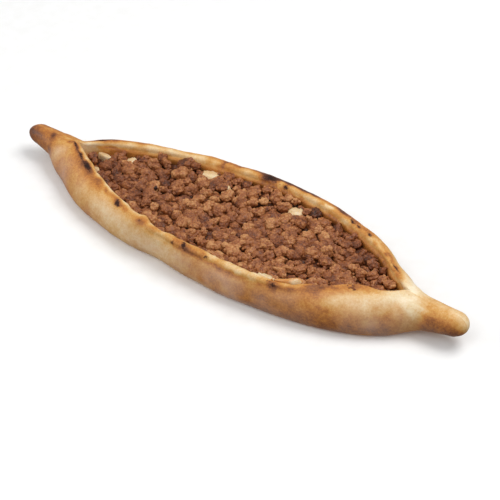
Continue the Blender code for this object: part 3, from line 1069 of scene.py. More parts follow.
# Each row is place, below, length, width, amount, slant and lift. Browned or pale spots come first:
# those of the near wall from the left nub to the right one, and then those of the far wall.
BAKE_MARKS = marks(
    Oven.BAKE,
    Side.NEAR,
    (-204.0, 2.0, 5.0, 9.0, 0.08), (-181.0, -2.2, 2.8, 2.6, 0.26), (-178.5, 10.7, 5.0, 2.6, 0.20, 0.5),
    (-170.0, 3.0, 6.0, 4.0, -0.12), (-103.0, 5.6, 9.0, 3.2, 0.14), (-93.5, 4.2, 3.4, 2.2, 0.26),
    (-46.0, 5.4, 4.0, 3.6, 0.26, 0.0, 0.9), (-28.0, 0.4, 6.0, 1.8, 0.20), (9.0, 4.6, 9.0, 2.0, 0.20),
    (40.0, 7.6, 12.0, 2.2, 0.16), (56.0, 2.4, 8.0, 2.6, -0.12), (66.0, 2.8, 7.0, 2.0, 0.16),
    (90.0, 6.4, 10.0, 2.4, 0.08), (105.0, 6.6, 7.0, 2.8, 0.08), (131.0, 8.0, 9.0, 3.4, 0.16),
    (122.0, 16.0, 9.0, 4.0, -0.10), (113.0, 25.0, 8.0, 5.0, 0.04), (151.0, 17.0, 4.0, 3.4, 0.16),
    (186.0, 8.0, 5.0, 4.0, 0.12),
) + marks(
    Oven.BAKE,
    Side.FAR,
    (-134.0, -7.6, 16.0, 1.5, 0.18, -0.02), (-136.0, -4.8, 12.0, 1.3, -0.18),
    # The pale spot at -152 mm on the far inner face is painted light in the shaded corner by the left end of
    # the opening.
    (-152.0, -5.0, 6.0, 7.0, -0.20), (-45.0, -3.0, 2.4, 5.0, 0.24, 0.0, -1.5),
    (-6.0, -4.0, 6.0, 3.2, 0.22), (24.0, -0.4, 12.0, 1.6, 0.16), (48.0, -3.0, 5.0, 2.8, 0.22),
    (62.0, -6.0, 9.0, 2.0, -0.12), (110.0, -3.0, 2.6, 1.6, 0.22), (118.0, -5.0, 9.0, 3.0, 0.12),
    (124.0, -2.6, 2.4, 1.4, 0.20), (140.0, -3.6, 9.0, 1.1, 0.24, 0.12),
)

# Scorched spots, most of them blistered up a little.
CHAR_MARKS = marks(
    Oven.CHAR,
    Side.NEAR,
    (-153.0, 2.6, 8.0, 1.3, 0.86, 0.04, 0.2), (-140.0, 3.2, 9.0, 1.6, 0.90, 0.05, 0.3),
    (-126.5, 2.8, 7.0, 3.0, 1.00, -0.05, 0.5), (-74.5, 4.4, 4.4, 2.6, 0.94, 0.2, 0.5),
    (-46.5, 5.4, 2.2, 2.0, 0.50, 0.0, 0.2), (-11.0, 3.2, 2.0, 1.5, 0.62, 0.0, 0.2),
    (0.8, 2.8, 3.2, 2.6, 0.84, 0.4, 0.4), (21.0, 3.2, 2.0, 1.4, 0.60, 0.0, 0.2),
    (80.0, 4.6, 3.0, 1.5, 0.72, 0.10, 0.2), (75.6, 1.8, 2.6, 1.0, 0.66),
) + marks(
    Oven.CHAR,
    Side.FAR,
    (-141.5, 0.4, 4.4, 1.5, 0.74, 0.0, 0.2), (-44.0, 0.2, 3.0, 1.2, 0.60),
    (-2.5, -1.6, 7.4, 3.2, 1.00, 0.0, 0.4), (12.8, -4.4, 3.0, 2.4, 0.80, 0.0, 0.3),
    (21.0, 0.2, 10.0, 1.0, 0.62), (81.4, -1.8, 2.8, 1.4, 0.86, 0.0, 0.2),
    (88.4, -1.8, 2.2, 1.3, 0.84, 0.0, 0.2), (101.4, -1.4, 3.0, 1.5, 0.74, 0.0, 0.2),
    (138.0, -1.2, 7.0, 1.1, 0.72, 0.05, 0.2),
)


# How much flour stayed on the outer walls, as (place along X in millimetres, share).
FLOUR: Profile = (
    (-205.0, 0.0), (-185.0, 0.15), (-165.0, 1.00), (-145.0, 0.70), (-115.0, 0.25), (-80.0, 0.35),
    (-40.0, 0.60), (0.0, 0.95), (30.0, 1.00), (62.0, 0.75), (90.0, 0.40), (115.0, 0.35), (142.0, 0.75),
    (165.0, 0.60), (185.0, 0.15), (205.0, 0.0),
)


@dataclass
class Crust:
    """The baked dough, with its folds, lumps, blisters and oven marks."""

    form: BreadForm
    finish: BakedDough
    marks: tuple[OvenMark, ...] = BAKE_MARKS + CHAR_MARKS
    stations: int = 340
    tip_stations: int = 12
    last_angle: float = math.radians(86.0)
    fold_from_mm: float = -48.0
    fold_to_mm: float = 104.0
    fold_fade_mm: float = 14.0
    fold_below_mm: float = 7.0
    fold_fill_mm: float = 0.45
    fold_toast_and_shade: float = 0.22
    rim_wave_mm: float = 0.8
    groove_mm: float = 0.7
    rim_blotch: float = 0.15
    blotch_to_mm: float = 158.0
    halo: float = 0.22
    halo_spread: float = 1.9

    def places(self) -> Array:
        """Places along X of the sections: evenly along the bread, then by angle round each tip."""
        form = self.form
        left = -(form.half_length - form.tip_rounding[0])
        right = form.half_length - form.tip_rounding[1]
        body = np.linspace(left, right, self.stations)
        angle = self.last_angle * np.arange(1, self.tip_stations + 1) / self.tip_stations
        left_tip = left - form.tip_rounding[0] * np.sin(angle)
        right_tip = right + form.tip_rounding[1] * np.sin(angle)
        return np.concatenate([left_tip[::-1], body, right_tip])

    def from_crest(self, grid: Array) -> tuple[Array, Array]:
        """How far each point lies from the crest of its own rim.

        Args:
            grid: the points, shaped (sections, around, 3).

        Returns:
            The distance in millimetres along the section, above 0 down the outer face, and the
            side of each point.
        """
        step = np.linalg.norm(np.diff(grid, axis=1, append=grid[:, :1]), axis=-1)
        run = np.concatenate([np.zeros((len(grid), 1)), np.cumsum(step, axis=1)[:, :-1]], axis=1)
        middle = self.form.around // 2
        far = self.form.far_crest()
        near = self.form.near_crest()
        on_far = np.arange(self.form.around)[None, :] < middle
        below = np.where(on_far, run[:, far : far + 1] - run, run - run[:, near : near + 1])
        side = np.where(on_far, int(Side.FAR), int(Side.NEAR))
        return below / MM, np.broadcast_to(side, below.shape)

    def surface(self) -> tuple[Array, Array, Array]:
        """The plain form as a grid.

        Returns:
            The points shaped (sections, around, 3), the distance from the crest and the side.
        """
        x = self.places()
        y, z = self.form.section(x)
        grid = np.stack([np.broadcast_to(x[:, None], y.shape), y, z], axis=-1)
        below, side = self.from_crest(grid)
        return grid, below, side

    def mark_cover(
        self, mark: OvenMark, x_mm: Array, below: Array, side: Array, spread: float = 1.0
    ) -> Array:
        """How much of a mark, made larger by spread, falls on each point, from 0 to 1."""
        along = (x_mm - mark.place) / (mark.length * spread)
        across = (below - mark.below - mark.slant * (x_mm - mark.place)) / (mark.width * spread)
        return np.where(side == int(mark.side), np.exp(-(along**2 + across**2)), 0.0)

    def relief(self, grid: Array, below: Array, side: Array) -> Array:
        """How far each point stands off the plain form, in millimetres."""
        flat = grid.reshape(-1, 3) / MM
        shape = below.shape
        rise = 0.65 * soft_noise(flat, 27.0, 3).reshape(shape)
        lumps = soft_noise(flat, 11.0, 5).reshape(shape)
        rise += 0.28 * lumps + 0.09 * soft_noise(flat, 4.2, 7).reshape(shape)
        x_mm = grid[..., 0] / MM
        folded = self.folded(x_mm, side)
        wander = self.fold_line(flat).reshape(shape)
        uneven = 1.0 + 0.9 * soft_noise(along_x(flat), 9.0, 10).reshape(shape)
        rise += self.fold_fill_mm * uneven * folded * bump(below - wander, 0.0, 2.2)
        rise += (0.85 + 0.60 * lumps) * folded * bump(below - wander, -4.0, 2.8)
        # The rims wave in and out, each in its own way, and a groove runs along inside the far one.
        line = self.rim_strip(flat, side)
        wave = soft_noise(line, 9.0, 13) + 0.5 * soft_noise(line, 4.5, 14)
        open_part = 1.0 - smooth_step(150.0, 170.0, np.abs(x_mm))
        rise += self.rim_wave_mm * wave.reshape(shape) * open_part * bump(below, -1.5, 4.5)
        inner = np.where(side == int(Side.FAR), open_part, 0.0)
        inner = inner * (1.0 + soft_noise(line, 24.0, 15).reshape(shape))
        rise += self.groove_mm * inner * (0.6 * bump(below, -3.4, 1.6) - bump(below, -7.2, 1.8))
        for mark in self.marks:
            if mark.lift:
                rise += mark.lift * self.mark_cover(mark, x_mm, below, side)
        height = grid[..., 2] / MM
        free = smooth_step(0.4, 4.0, height)
        within = np.abs(x_mm) < 0.97 * self.form.half_length / MM
        inside = np.where(below < -6.0, smooth_step(-12.0, -6.0, below), 1.0)
        keep = np.where(np.abs(x_mm) < self.form.opening_half / MM, inside, 1.0)
        return rise * free * keep * np.where(within, 1.0, 0.5)

    def banded(self, bands: tuple[BakeBand, ...], x_mm: Array, below: Array) -> Array:
        """The bake level between the bands of a wall, at each point."""
        level = follow(x_mm, bands[0].levels)
        for low, high in zip(bands, bands[1:]):
            share = smooth_step(low.below, high.below, below)
            level = level + (follow(x_mm, high.levels) - level) * share
        return level

    def folded(self, x_mm: Array, side: Array) -> Array:
        """1 where the near rim is folded over the wall, 0 elsewhere."""
        share = smooth_step(self.fold_from_mm, self.fold_from_mm + self.fold_fade_mm, x_mm)
        share = share * smooth_step(-self.fold_to_mm, self.fold_fade_mm - self.fold_to_mm, -x_mm)
        return np.where(side == int(Side.NEAR), share, 0.0)

    def rim_strip(self, flat: Array, side: Array) -> Array:
        """The (x, y, z) rows moved onto a line of their own for each wall, so that the noises differ."""
        return along_x(flat) + side.reshape(-1, 1) * np.array([0.0, 40.0, 0.0])

    def fold_line(self, flat: Array) -> Array:
        """How far below the crest the edge of the fold runs at each of the (x, y, z) rows."""
        line = along_x(flat)
        return self.fold_below_mm + 0.9 * soft_noise(line, 23.0, 9) + 0.5 * soft_noise(line, 7.0, 12)

    def baking(self, grid: Array, below: Array, side: Array) -> tuple[Array, Array]:
        """How far each point is baked and charred.

        Args:
            grid: the points, shaped (sections, around, 3).
            below: their distance from the crest, in millimetres.
            side: their side.

        Returns:
            The bake level and the char level of each point.
        """
        flat = grid.reshape(-1, 3) / MM
        shape = below.shape
        x_mm = grid[..., 0] / MM + 1.6 * soft_noise(flat, 6.0, 21).reshape(shape)
        down = below + 1.0 * soft_noise(flat, 5.0, 22).reshape(shape)
        near, far = self.banded(NEAR_BANDS, x_mm, down), self.banded(FAR_BANDS, x_mm, down)
        bake = np.where(side == int(Side.NEAR), near, far)
        # The edge of the fold browns unevenly, just above the crease that it leaves; part of this brown is
        # painted shade under the folded lip.
        patchy = 0.35 + 0.9 * soft_noise(along_x(flat), 7.0, 23).reshape(shape)
        edge = self.folded(x_mm, side) * bump(down - self.fold_line(flat).reshape(shape), -0.8, 1.4)
        bake = bake + self.fold_toast_and_shade * np.clip(patchy, 0.0, 1.0) * edge
        # Both rims are blotched along their length, where the dough blistered up or hung back.
        line = self.rim_strip(flat, side)
        blotch = soft_noise(line, 8.0, 27) + 0.7 * soft_noise(flat, 5.0, 28)
        blotch = self.rim_blotch * blotch.reshape(shape) * bump(down, -1.0, 6.5)
        bake = bake + blotch * (np.abs(x_mm) < self.blotch_to_mm)
        char = np.zeros(shape)
        for mark in self.marks:
            if mark.kind is Oven.BAKE:
                bake = bake + mark.amount * self.mark_cover(mark, x_mm, down, side)
            else:
                char = np.maximum(char, mark.amount * self.mark_cover(mark, x_mm, down, side))
                around = self.mark_cover(mark, x_mm, down, side, self.halo_spread)
                bake = bake + self.halo * mark.amount * around
        return np.clip(bake, 0.0, 1.0), np.clip(char, 0.0, 1.0)

    def dusting(self, grid: Array, below: Array) -> Array:
        """How much flour lies on each point, from 0 to 1: on the outer walls, in soft clouds."""
        flat = grid.reshape(-1, 3) / MM
        cloud = 0.66 + 0.9 * soft_noise(flat, 16.0, 25) + 0.3 * soft_noise(flat, 6.0, 26)
        share = follow(grid[..., 0] / MM, FLOUR) * smooth_step(5.0, 14.0, below)
        return np.clip(share * cloud.reshape(below.shape), 0.0, 1.0)

    def build(self) -> bpy.types.Object:
        """Builds the crust and puts it in place of the plain solid."""
        grid, below, side = self.surface()
        bake, char = self.baking(grid, below, side)
        flour = self.dusting(grid, below)
        grid = grid + grid_normals(grid) * (self.relief(grid, below, side) * MM)[..., None]
        values = {
            Oven.BAKE.value: np.append(bake.ravel(), [bake[0].mean(), bake[-1].mean()]),
            Oven.CHAR.value: np.append(char.ravel(), [0.0, 0.0]),
            Oven.FLOUR.value: np.append(flour.ravel(), [0.0, 0.0]),
        }
        piece = closed_tube("crust_baked", grid, values)
        piece.data.materials.append(self.finish.build())
        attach(piece, "root")
        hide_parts("crust")
        return piece


# ---------------------------------------------------------------------------
# The cheese
# ---------------------------------------------------------------------------


@dataclass(frozen=True)
class Pool:
    """A place where melted cheese shows, in millimetres.

    Attributes:
        place: where its middle is along X.
        across: where its middle is along Y.
        length: its reach along X.
        width: its reach along Y.
        top: the height of its flat top.
    """

    place: float
    across: float
    length: float
    width: float
    top: float


POOLS: tuple[Pool, ...] = (
    Pool(-134.5, 6.4, 5.0, 1.7, 20.3),
    Pool(-127.0, -13.2, 2.4, 1.7, 21.0),
    Pool(-111.7, 12.0, 2.6, 4.0, 21.0),
    Pool(-49.5, 35.9, 5.2, 4.4, 21.0),
    Pool(-26.7, 29.4, 2.2, 1.8, 22.2),
    Pool(34.4, 36.6, 4.8, 3.8, 21.0),
    Pool(65.7, -43.4, 5.0, 2.4, 22.4),
)


@dataclass
class CheeseLayer:
    """Cheese melted over the dough floor, which rises to flat pools between the mince and the wall."""

    form: BreadForm
    finish: MeltedCheese
    pools: tuple[Pool, ...] = POOLS
    reach: float = 0.153
    low_top_mm: float = 13.6
    floor_gap_mm: float = 0.3
    into_dough_mm: float = 0.8
    under_rim_mm: float = 1.5
    stations: int = 220
    across: int = 64

    def top(self, flat: Array) -> Array:
        """The height of the cheese at places given as (x, y) rows in millimetres."""
        spot = np.column_stack([flat, np.zeros(len(flat))])
        height = self.low_top_mm + 0.5 * soft_noise(spot, 9.0, 31)
        edge = 0.30 * soft_noise(spot, 5.0, 32) + 0.12 * soft_noise(spot, 2.2, 33)
        for pool in self.pools:
            along = (flat[:, 0] - pool.place) / pool.length
            away = np.hypot(along, (flat[:, 1] - pool.across) / pool.width)
            cover = 1.0 - smooth_step(1.15, 1.9, away + edge)
            full = pool.top + 0.28 * soft_noise(spot, 3.4, 34)
            height = np.maximum(height, self.low_top_mm + (full - self.low_top_mm) * cover)
        return height

    def build(self) -> bpy.types.Object:
        """Builds the layer and puts it in place of the plain solid."""
        x = np.linspace(-self.reach, self.reach, self.stations)
        level = np.full(self.stations, 1.5 * self.low_top_mm * MM)
        level = np.minimum(level, self.form.crest_height(x, Side.NEAR) - 0.002)
        far = self.form.wall_at(x, Side.FAR, level) + self.into_dough_mm * MM
        near = self.form.wall_at(x, Side.NEAR, level) + self.into_dough_mm * MM
        share = np.linspace(0.0, 1.0, self.across)[None, :]
        y = far[:, None] - (far + near)[:, None] * share
        places = np.broadcast_to(x[:, None], y.shape)
        top = self.top(np.column_stack([places.ravel(), y.ravel()]) / MM).reshape(y.shape) * MM
        crests = [self.form.crest_height(x, side) for side in Side]
        ceiling = np.minimum(*crests) - self.under_rim_mm * MM
        top = np.minimum(top, ceiling[:, None])
        low = np.minimum(self.form.floor_height(x)[:, None] + self.floor_gap_mm * MM, top - 0.0003)
        upper = np.stack([places, y, top], axis=-1)
        lower = np.stack([places, y, np.broadcast_to(low, y.shape)], axis=-1)
        rings = np.concatenate([upper, lower[:, ::-1]], axis=1)
        untoasted = np.zeros(rings[..., 0].size + 2)
        piece = closed_tube("cheese_melted", rings, {"toast": untoasted})
        piece.data.materials.append(self.finish.build())
        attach(piece, "root")
        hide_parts("cheese")
        return piece


@dataclass
class CheeseDrip:
    """A run of melted cheese that lies along the near rim and ends in a fat rounded drop."""

    form: BreadForm
    finish: MeltedCheese
    name: str = "cheese_drip"
    start_mm: float = 77.5
    end_mm: float = 95.6
    inward_mm: tuple[float, float] = (0.4, 1.9)
    thickness_mm: float = 6.4
    height_mm: tuple[float, float] = (0.4, 0.6)
    stations: int = 40
    around: int = 28

    def build(self) -> bpy.types.Object:
        """Builds the drip on the crest of the near rim."""
        t = 0.5 - 0.5 * np.cos(np.linspace(0.04 * HALF_TURN, 0.97 * HALF_TURN, self.stations))
        x = (self.start_mm + (self.end_mm - self.start_mm) * t) * MM
        girth = np.interp(t, [0.0, 0.45, 0.8, 1.0], [0.2, 0.55, 1.0, 0.75])
        cap = np.sqrt(np.maximum(0.0, 1.0 - np.maximum(0.0, (t - 0.84) / 0.16) ** 2))
        tail = np.sqrt(np.minimum(1.0, t / 0.12 + 0.02))
        radius = 0.5 * self.thickness_mm * girth * cap * tail * MM
        inward = (self.inward_mm[0] + (self.inward_mm[1] - self.inward_mm[0]) * t**1.5) * MM
        crest = self.form.rim_line(x, Side.NEAR) - inward
        raised = (self.height_mm[0] + (self.height_mm[1] - self.height_mm[0]) * t) * MM
        middle = self.form.crest_height(x, Side.NEAR) + raised - 0.0008 * smooth_step(0.6, 1.0, t)
        angle = 2.0 * HALF_TURN * np.arange(self.around)[None, :] / self.around
        y = -crest[:, None] + 1.25 * radius[:, None] * np.cos(angle)
        z = middle[:, None] + radius[:, None] * np.sin(angle)
        places = np.broadcast_to(x[:, None], y.shape)
        rings = np.stack([places, y, z], axis=-1)
        lumps = 0.25 * soft_noise(rings.reshape(-1, 3) / MM, 3.6, 36).reshape(y.shape) * MM
        rings = rings + grid_normals(rings) * lumps[..., None]
        # It is golden but for the end of the drop, which hangs out of the heat on the outside.
        wander = 0.25 * soft_noise(x[:, None] / MM, 2.5, 37)[:, None]
        outward = 0.35 * np.sin(angle) - 0.9 * np.cos(angle) + wander
        pale = smooth_step(0.55, 0.85, t)[:, None] * smooth_step(-0.2, 0.6, outward)
        toast = (1.0 - 0.9 * pale).ravel()
        piece = closed_tube(self.name, rings, {"toast": np.append(toast, [1.0, 0.0])})
        piece.data.materials.append(self.finish.build())
        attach(piece, "root")
        return piece


# ---------------------------------------------------------------------------
# The mince
# ---------------------------------------------------------------------------


@dataclass(frozen=True)
class Crumb:
    """One crumb of mince, in millimetres.

    Attributes:
        place: its middle, as (x, y, z).
        radius: half its size.
        tone: how light it is, from 0 to 1.
        grid: how many faces lie along each edge of the cube that it is blown up from.
        smoothness: 0 for a knot of strands, 1 for a plain round lump.
    """

    place: tuple[float, float, float]
    radius: float
    tone: float
    grid: int
    smoothness: float = 0.0


@dataclass(frozen=True)
class CrumbKind:
    """A size of crumb, and how such crumbs are strewn, in millimetres.

    Attributes:
        name: the name of the piece that holds them.
        least: the smallest radius.
        most: the largest radius.
        tries: how many places are tried.
        touch: how close two crumbs may come, as a share of their radii together.
        sink: how far the tops lie below the top of the heap, least and most.
        grid: how many faces lie along each edge of the cube that a crumb is blown up from.
    """

    name: str
    least: float
    most: float
    tries: int
    touch: float
    sink: tuple[float, float]
    grid: int


LARGE_CLUMPS = CrumbKind("mince_large_clumps", 5.8, 7.8, 420, 0.72, (-2.4, 0.8), 15)
CLUMPS = CrumbKind("mince_clumps", 4.2, 5.8, 2500, 0.65, (-1.6, 2.0), 12)
CRUMBS = CrumbKind("mince_crumbs", 2.9, 4.2, 4000, 0.64, (0.4, 3.6), 11)
SMALL_CRUMBS = CrumbKind("mince_small_crumbs", 1.9, 2.9, 1500, 0.66, (1.6, 4.4), 7)
BITS = CrumbKind("mince_bits", 1.0, 1.8, 900, 0.70, (1.4, 3.6), 4)
BED = CrumbKind("mince_bed", 3.2, 4.6, 3000, 0.74, (5.2, 7.4), 4)


# Crumbs that stand out, as (x, y, top, radius, tone): those along the far wall, from the left, then
# the larger ones in the open, then those along the near wall. Most of those along the far wall are
# darker, as painted shade from the wall.
STANDOUTS: tuple[tuple[float, float, float, float, float], ...] = (
    (-138.3, -3.1, 25.2, 5.0, 0.22), (-134.0, -6.4, 23.4, 3.4, 0.25), (-122.9, 13.6, 25.0, 6.0, 0.30),
    (-118.1, 9.8, 24.0, 4.6, 0.32), (-104.1, 19.8, 24.2, 4.6, 0.34), (-93.1, 19.8, 24.8, 6.2, 0.44),
    (-93.0, 31.0, 26.2, 4.8, 0.36), (-87.1, 26.3, 24.4, 4.4, 0.40), (-74.0, 35.5, 26.4, 6.2, 0.22),
    (-65.5, 36.5, 25.4, 5.0, 0.26), (-36.1, 26.3, 25.2, 5.2, 0.24), (-30.1, 25.8, 24.6, 4.4, 0.30),
    (-36.1, 42.3, 24.2, 5.4, 0.38), (-27.1, 40.8, 23.8, 4.6, 0.42), (-17.6, 41.3, 25.0, 5.4, 0.24),
    (-8.1, 39.8, 24.0, 4.4, 0.42), (6.9, 31.8, 24.8, 4.8, 0.82), (14.4, 38.3, 24.2, 4.8, 0.34),
    (22.9, 34.8, 24.6, 5.4, 0.48), (21.4, 44.3, 26.2, 4.0, 0.50), (27.4, 44.8, 25.2, 3.2, 0.52),
    (41.4, 41.3, 24.0, 3.8, 0.44), (61.9, 36.3, 24.6, 5.4, 0.44), (71.9, 37.3, 24.4, 5.2, 0.16),
    (87.9, 33.8, 25.2, 5.6, 0.24), (94.4, 29.3, 24.4, 4.4, 0.24), (112.9, 20.8, 24.6, 5.4, 0.20),
    (118.9, 16.8, 24.2, 4.6, 0.28), (128.9, 15.8, 23.8, 5.0, 0.16), (140.9, 4.8, 24.4, 4.6, 0.62),
    (133.9, 6.8, 23.8, 4.4, 0.42), (-66.0, -2.0, 23.2, 3.6, 0.50), (-56.0, -25.0, 23.4, 4.0, 0.52),
    (-36.0, 5.0, 24.2, 6.4, 0.48), (-45.0, -22.0, 24.0, 6.2, 0.34), (-27.0, -29.0, 23.8, 6.2, 0.42),
    (6.0, -22.0, 24.2, 6.4, 0.50), (24.0, -22.5, 23.8, 5.0, 0.52), (40.0, -11.0, 24.0, 6.0, 0.54),
    (65.0, -25.0, 23.8, 6.4, 0.56), (79.0, -20.0, 24.2, 5.4, 0.46), (70.0, 23.0, 23.6, 5.4, 0.60),
    (83.0, 9.5, 24.2, 6.4, 0.56), (117.0, 3.0, 23.8, 5.6, 0.48), (-37.0, -40.0, 23.4, 5.2, 0.24),
    (-11.0, -33.0, 23.2, 5.0, 0.40),
)


@dataclass
class MinceHeap:
    """Fried mince heaped in the bread: crumbs of a few sizes strewn over a smaller core."""

    form: BreadForm
    finish: FriedMince
    pools: tuple[Pool, ...] = POOLS
    seed: int = 11
    # How far a crumb's middle stays off the wall, off a pool of cheese and below its own top, as
    # shares of its radius.
    wall_room: float = 0.72
    pool_room: float = 0.55
    top_share: float = 0.86
    left_mm: float = -130.0
    right_mm: float = 147.0
    standout_grid: int = 14
    top_mm: float = 22.3
    core_below_mm: float = 5.8
    core_foot_mm: float = 13.0
    core_stations: int = 230
    core_across: int = 68
    rng: np.random.Generator = field(init=False)

    def __post_init__(self) -> None:
        """Starts the random numbers that strew and shape the crumbs."""
        self.rng = np.random.default_rng(self.seed)

    def top(self, flat: Array) -> Array:
        """The height of the heap at places given as (x, y) rows, in millimetres."""
        spot = np.column_stack([flat, np.zeros(len(flat))])
        height = self.top_mm + 0.8 * soft_noise(spot, 26.0, 41) + 0.7 * soft_noise(spot, 11.0, 42)
        return height + 1.3 * smooth_step(12.0, 42.0, flat[:, 1])

    def wall(self, x_mm: Array, side: Side, height_mm: float) -> Array:
        """How far from the axis the inner face stands at one height, in millimetres."""
        x = np.asarray(x_mm) * MM
        height = np.full(x.shape, height_mm * MM)
        return self.form.wall_at(x, side, height) / MM

    def clear_of_cheese(self, x: float, y: float, radius: float) -> bool:
        """Whether a crumb leaves every pool of cheese in sight."""
        for pool in self.pools:
            room = self.pool_room * radius
            along = (x - pool.place) / (pool.length + room)
            if math.hypot(along, (y - pool.across) / (pool.width + room)) < 1.0:
                return False
        return True

    def strew(self, kind: CrumbKind, lying: list[Crumb]) -> list[Crumb]:
        """Strews crumbs of one kind, the largest first, between those that lie there already.

        Args:
            kind: what is strewn.
            lying: crumbs of any kind that the new ones keep off.

        Returns:
            The new crumbs.
        """
        count = kind.tries
        radius = np.sort(self.rng.uniform(kind.least, kind.most, count))[::-1]
        x = self.rng.uniform(self.left_mm, self.right_mm, count)
        far = self.wall(x, Side.FAR, self.top_mm - 0.6) - self.wall_room * radius
        near = self.wall(x, Side.NEAR, self.top_mm - 1.0) - self.wall_room * radius
        y = self.rng.uniform(-1.0, 1.0, count)
        y = np.where(y > 0.0, y * far, y * near)
        fits = np.minimum(far, near) > 0.0
        sunk = self.rng.uniform(*kind.sink, count)
        top = self.top(np.column_stack([x, y])) - sunk
        # The deeper a crumb lies, the darker it is painted, as painted shade from the crumbs above it.
        tone = 0.42 + 0.08 * self.rng.standard_normal(count) - 0.035 * sunk
        patches = 0.08 * soft_noise(np.column_stack([x, y, top]), 30.0, 43)
        tone += patches - 0.15 * smooth_step(40.0, 110.0, -x)
        taken = np.array([[*c.place[:2], c.radius] for c in lying]).reshape(-1, 3)
        found: list[Crumb] = []
        for i in range(count):
            if not fits[i] or not self.clear_of_cheese(x[i], y[i], radius[i]):
                continue
            gap = np.hypot(taken[:, 0] - x[i], taken[:, 1] - y[i]) - kind.touch * (taken[:, 2] + radius[i])
            if len(taken) and gap.min() < 0.0:
                continue
            taken = np.vstack([taken, [x[i], y[i], radius[i]]])
            place = (float(x[i]), float(y[i]), float(top[i] - self.top_share * radius[i]))
            found.append(Crumb(place, float(radius[i]), float(np.clip(tone[i], 0.12, 0.85)), kind.grid))
        return found

    def cube_sphere(self, grid: int) -> tuple[Array, Array]:
        """Directions to the points of a cube's surface, evenly spread, and its faces.

        Args:
            grid: how many faces lie along each edge.

        Returns:
            Unit vectors, one row each, and the faces.
        """
        line = np.tan(np.linspace(-0.25 * HALF_TURN, 0.25 * HALF_TURN, grid + 1))
        u, v = np.meshgrid(line, line, indexing="ij")
        one = np.ones_like(u)
        number = np.arange((grid + 1) ** 2).reshape(grid + 1, grid + 1)
        around = [number[:-1, :-1], number[1:, :-1], number[1:, 1:], number[:-1, 1:]]
        cell = np.stack(around, axis=-1).reshape(-1, 4)
        points, quads = [], []
        for axis in range(3):
            for sign in (1.0, -1.0):
                corner = np.empty((*u.shape, 3))
                corner[..., axis] = sign * one
                corner[..., (axis + 1) % 3] = u
                corner[..., (axis + 2) % 3] = sign * v
                quads.append(cell + len(points) * number.size)
                points.append(corner.reshape(-1, 3))
        merged, first = np.unique(np.round(np.concatenate(points), 6), axis=0, return_inverse=True)
        faces = first.reshape(-1)[np.concatenate(quads)]
        return merged / np.linalg.norm(merged, axis=1, keepdims=True), faces

    def far_side(self, directions: Array, middles: Array, sizes: Array) -> Array:
        """Where rays from the middle of a crumb leave the lumps that it is made of.

        Args:
            directions: unit vectors along the rays.
            middles: the middles of the round lumps.
            sizes: their radii.

        Returns:
            For each ray, how far out it leaves the last lump, and how much further that is than
            for the next one, which is small in a crease.
        """
        along = directions @ middles.T
        room = sizes[None, :] ** 2 - (middles**2).sum(axis=1)[None, :] + along**2
        hit = np.where(room > 0.0, along + np.sqrt(np.maximum(room, 0.0)), 0.0)
        hit = np.sort(np.maximum(hit, 1e-3), axis=1)
        return np.column_stack([(hit**20).sum(axis=1) ** 0.05, hit[:, -1] - hit[:, -2]])

    def knot(self, crumb: Crumb, directions: Array) -> tuple[Array, Array]:
        """The shape of one crumb: a few rounded lumps pressed together, with grains on them.

        Args:
            crumb: what is shaped.
            directions: unit vectors from its middle.

        Returns:
            Its points in millimetres, and how far each stands proud of the creases, from 0 to 1.
        """
        rng = self.rng
        lobes = int(rng.integers(4, 7)) + int(0.7 * crumb.radius)
        heading = rng.standard_normal((lobes, 3))
        heading /= np.linalg.norm(heading, axis=1, keepdims=True)
        reach = rng.uniform(0.42, 0.66, (lobes, 1)) * (1.0 - 0.6 * crumb.smoothness)
        middles = np.concatenate([[[0.0, 0.0, 0.0]], heading * reach])
        sizes = np.concatenate([[0.62 + 0.20 * crumb.smoothness], rng.uniform(0.30, 0.50, lobes)])
        count = int(np.clip(3.6 * crumb.radius**2, 12, 150))
        spots = rng.standard_normal((count, 3))
        spots /= np.linalg.norm(spots, axis=1, keepdims=True)
        grain = rng.uniform(0.7, 1.4, count) * (1.0 - 0.7 * crumb.smoothness) / crumb.radius
        grain = np.minimum(grain, 0.42)
        lying = self.far_side(spots, middles, sizes)[:, 0] - grain * rng.uniform(0.15, 0.50, count)
        middles = np.concatenate([middles, spots * lying[:, None]])
        sizes = np.concatenate([sizes, grain])
        out, gap = self.far_side(directions, middles, sizes).T
        # Proud is low in the creases and on the underside, where the colour then paints shade.
        proud = 0.45 * np.clip(gap / 0.10, 0.0, 1.0) + 0.55 * np.clip((out - 0.66) / 0.40, 0.0, 1.0)
        proud *= 0.40 + 0.60 * smooth_step(-0.40, 0.45, directions[:, 2])
        stretch = rng.uniform(0.80, 1.30, 3)
        stretch[2] = rng.uniform(0.80, 1.0)
        turn = rng.uniform(0.0, 2.0 * HALF_TURN)
        cos, sin = math.cos(turn), math.sin(turn)
        shape = directions * out[:, None] * crumb.radius * stretch
        turned = np.column_stack(
            [shape[:, 0] * cos - shape[:, 1] * sin, shape[:, 0] * sin + shape[:, 1] * cos, shape[:, 2]]
        )
        return turned + np.array(crumb.place), proud

    def add_crumbs(self, name: str, crumbs: list[Crumb]) -> bpy.types.Object:
        """Makes one piece of all the crumbs in a list.

        Args:
            name: the piece's name.
            crumbs: what it holds.

        Returns:
            The new piece.
        """
        spheres = {crumb.grid: self.cube_sphere(crumb.grid) for crumb in crumbs}
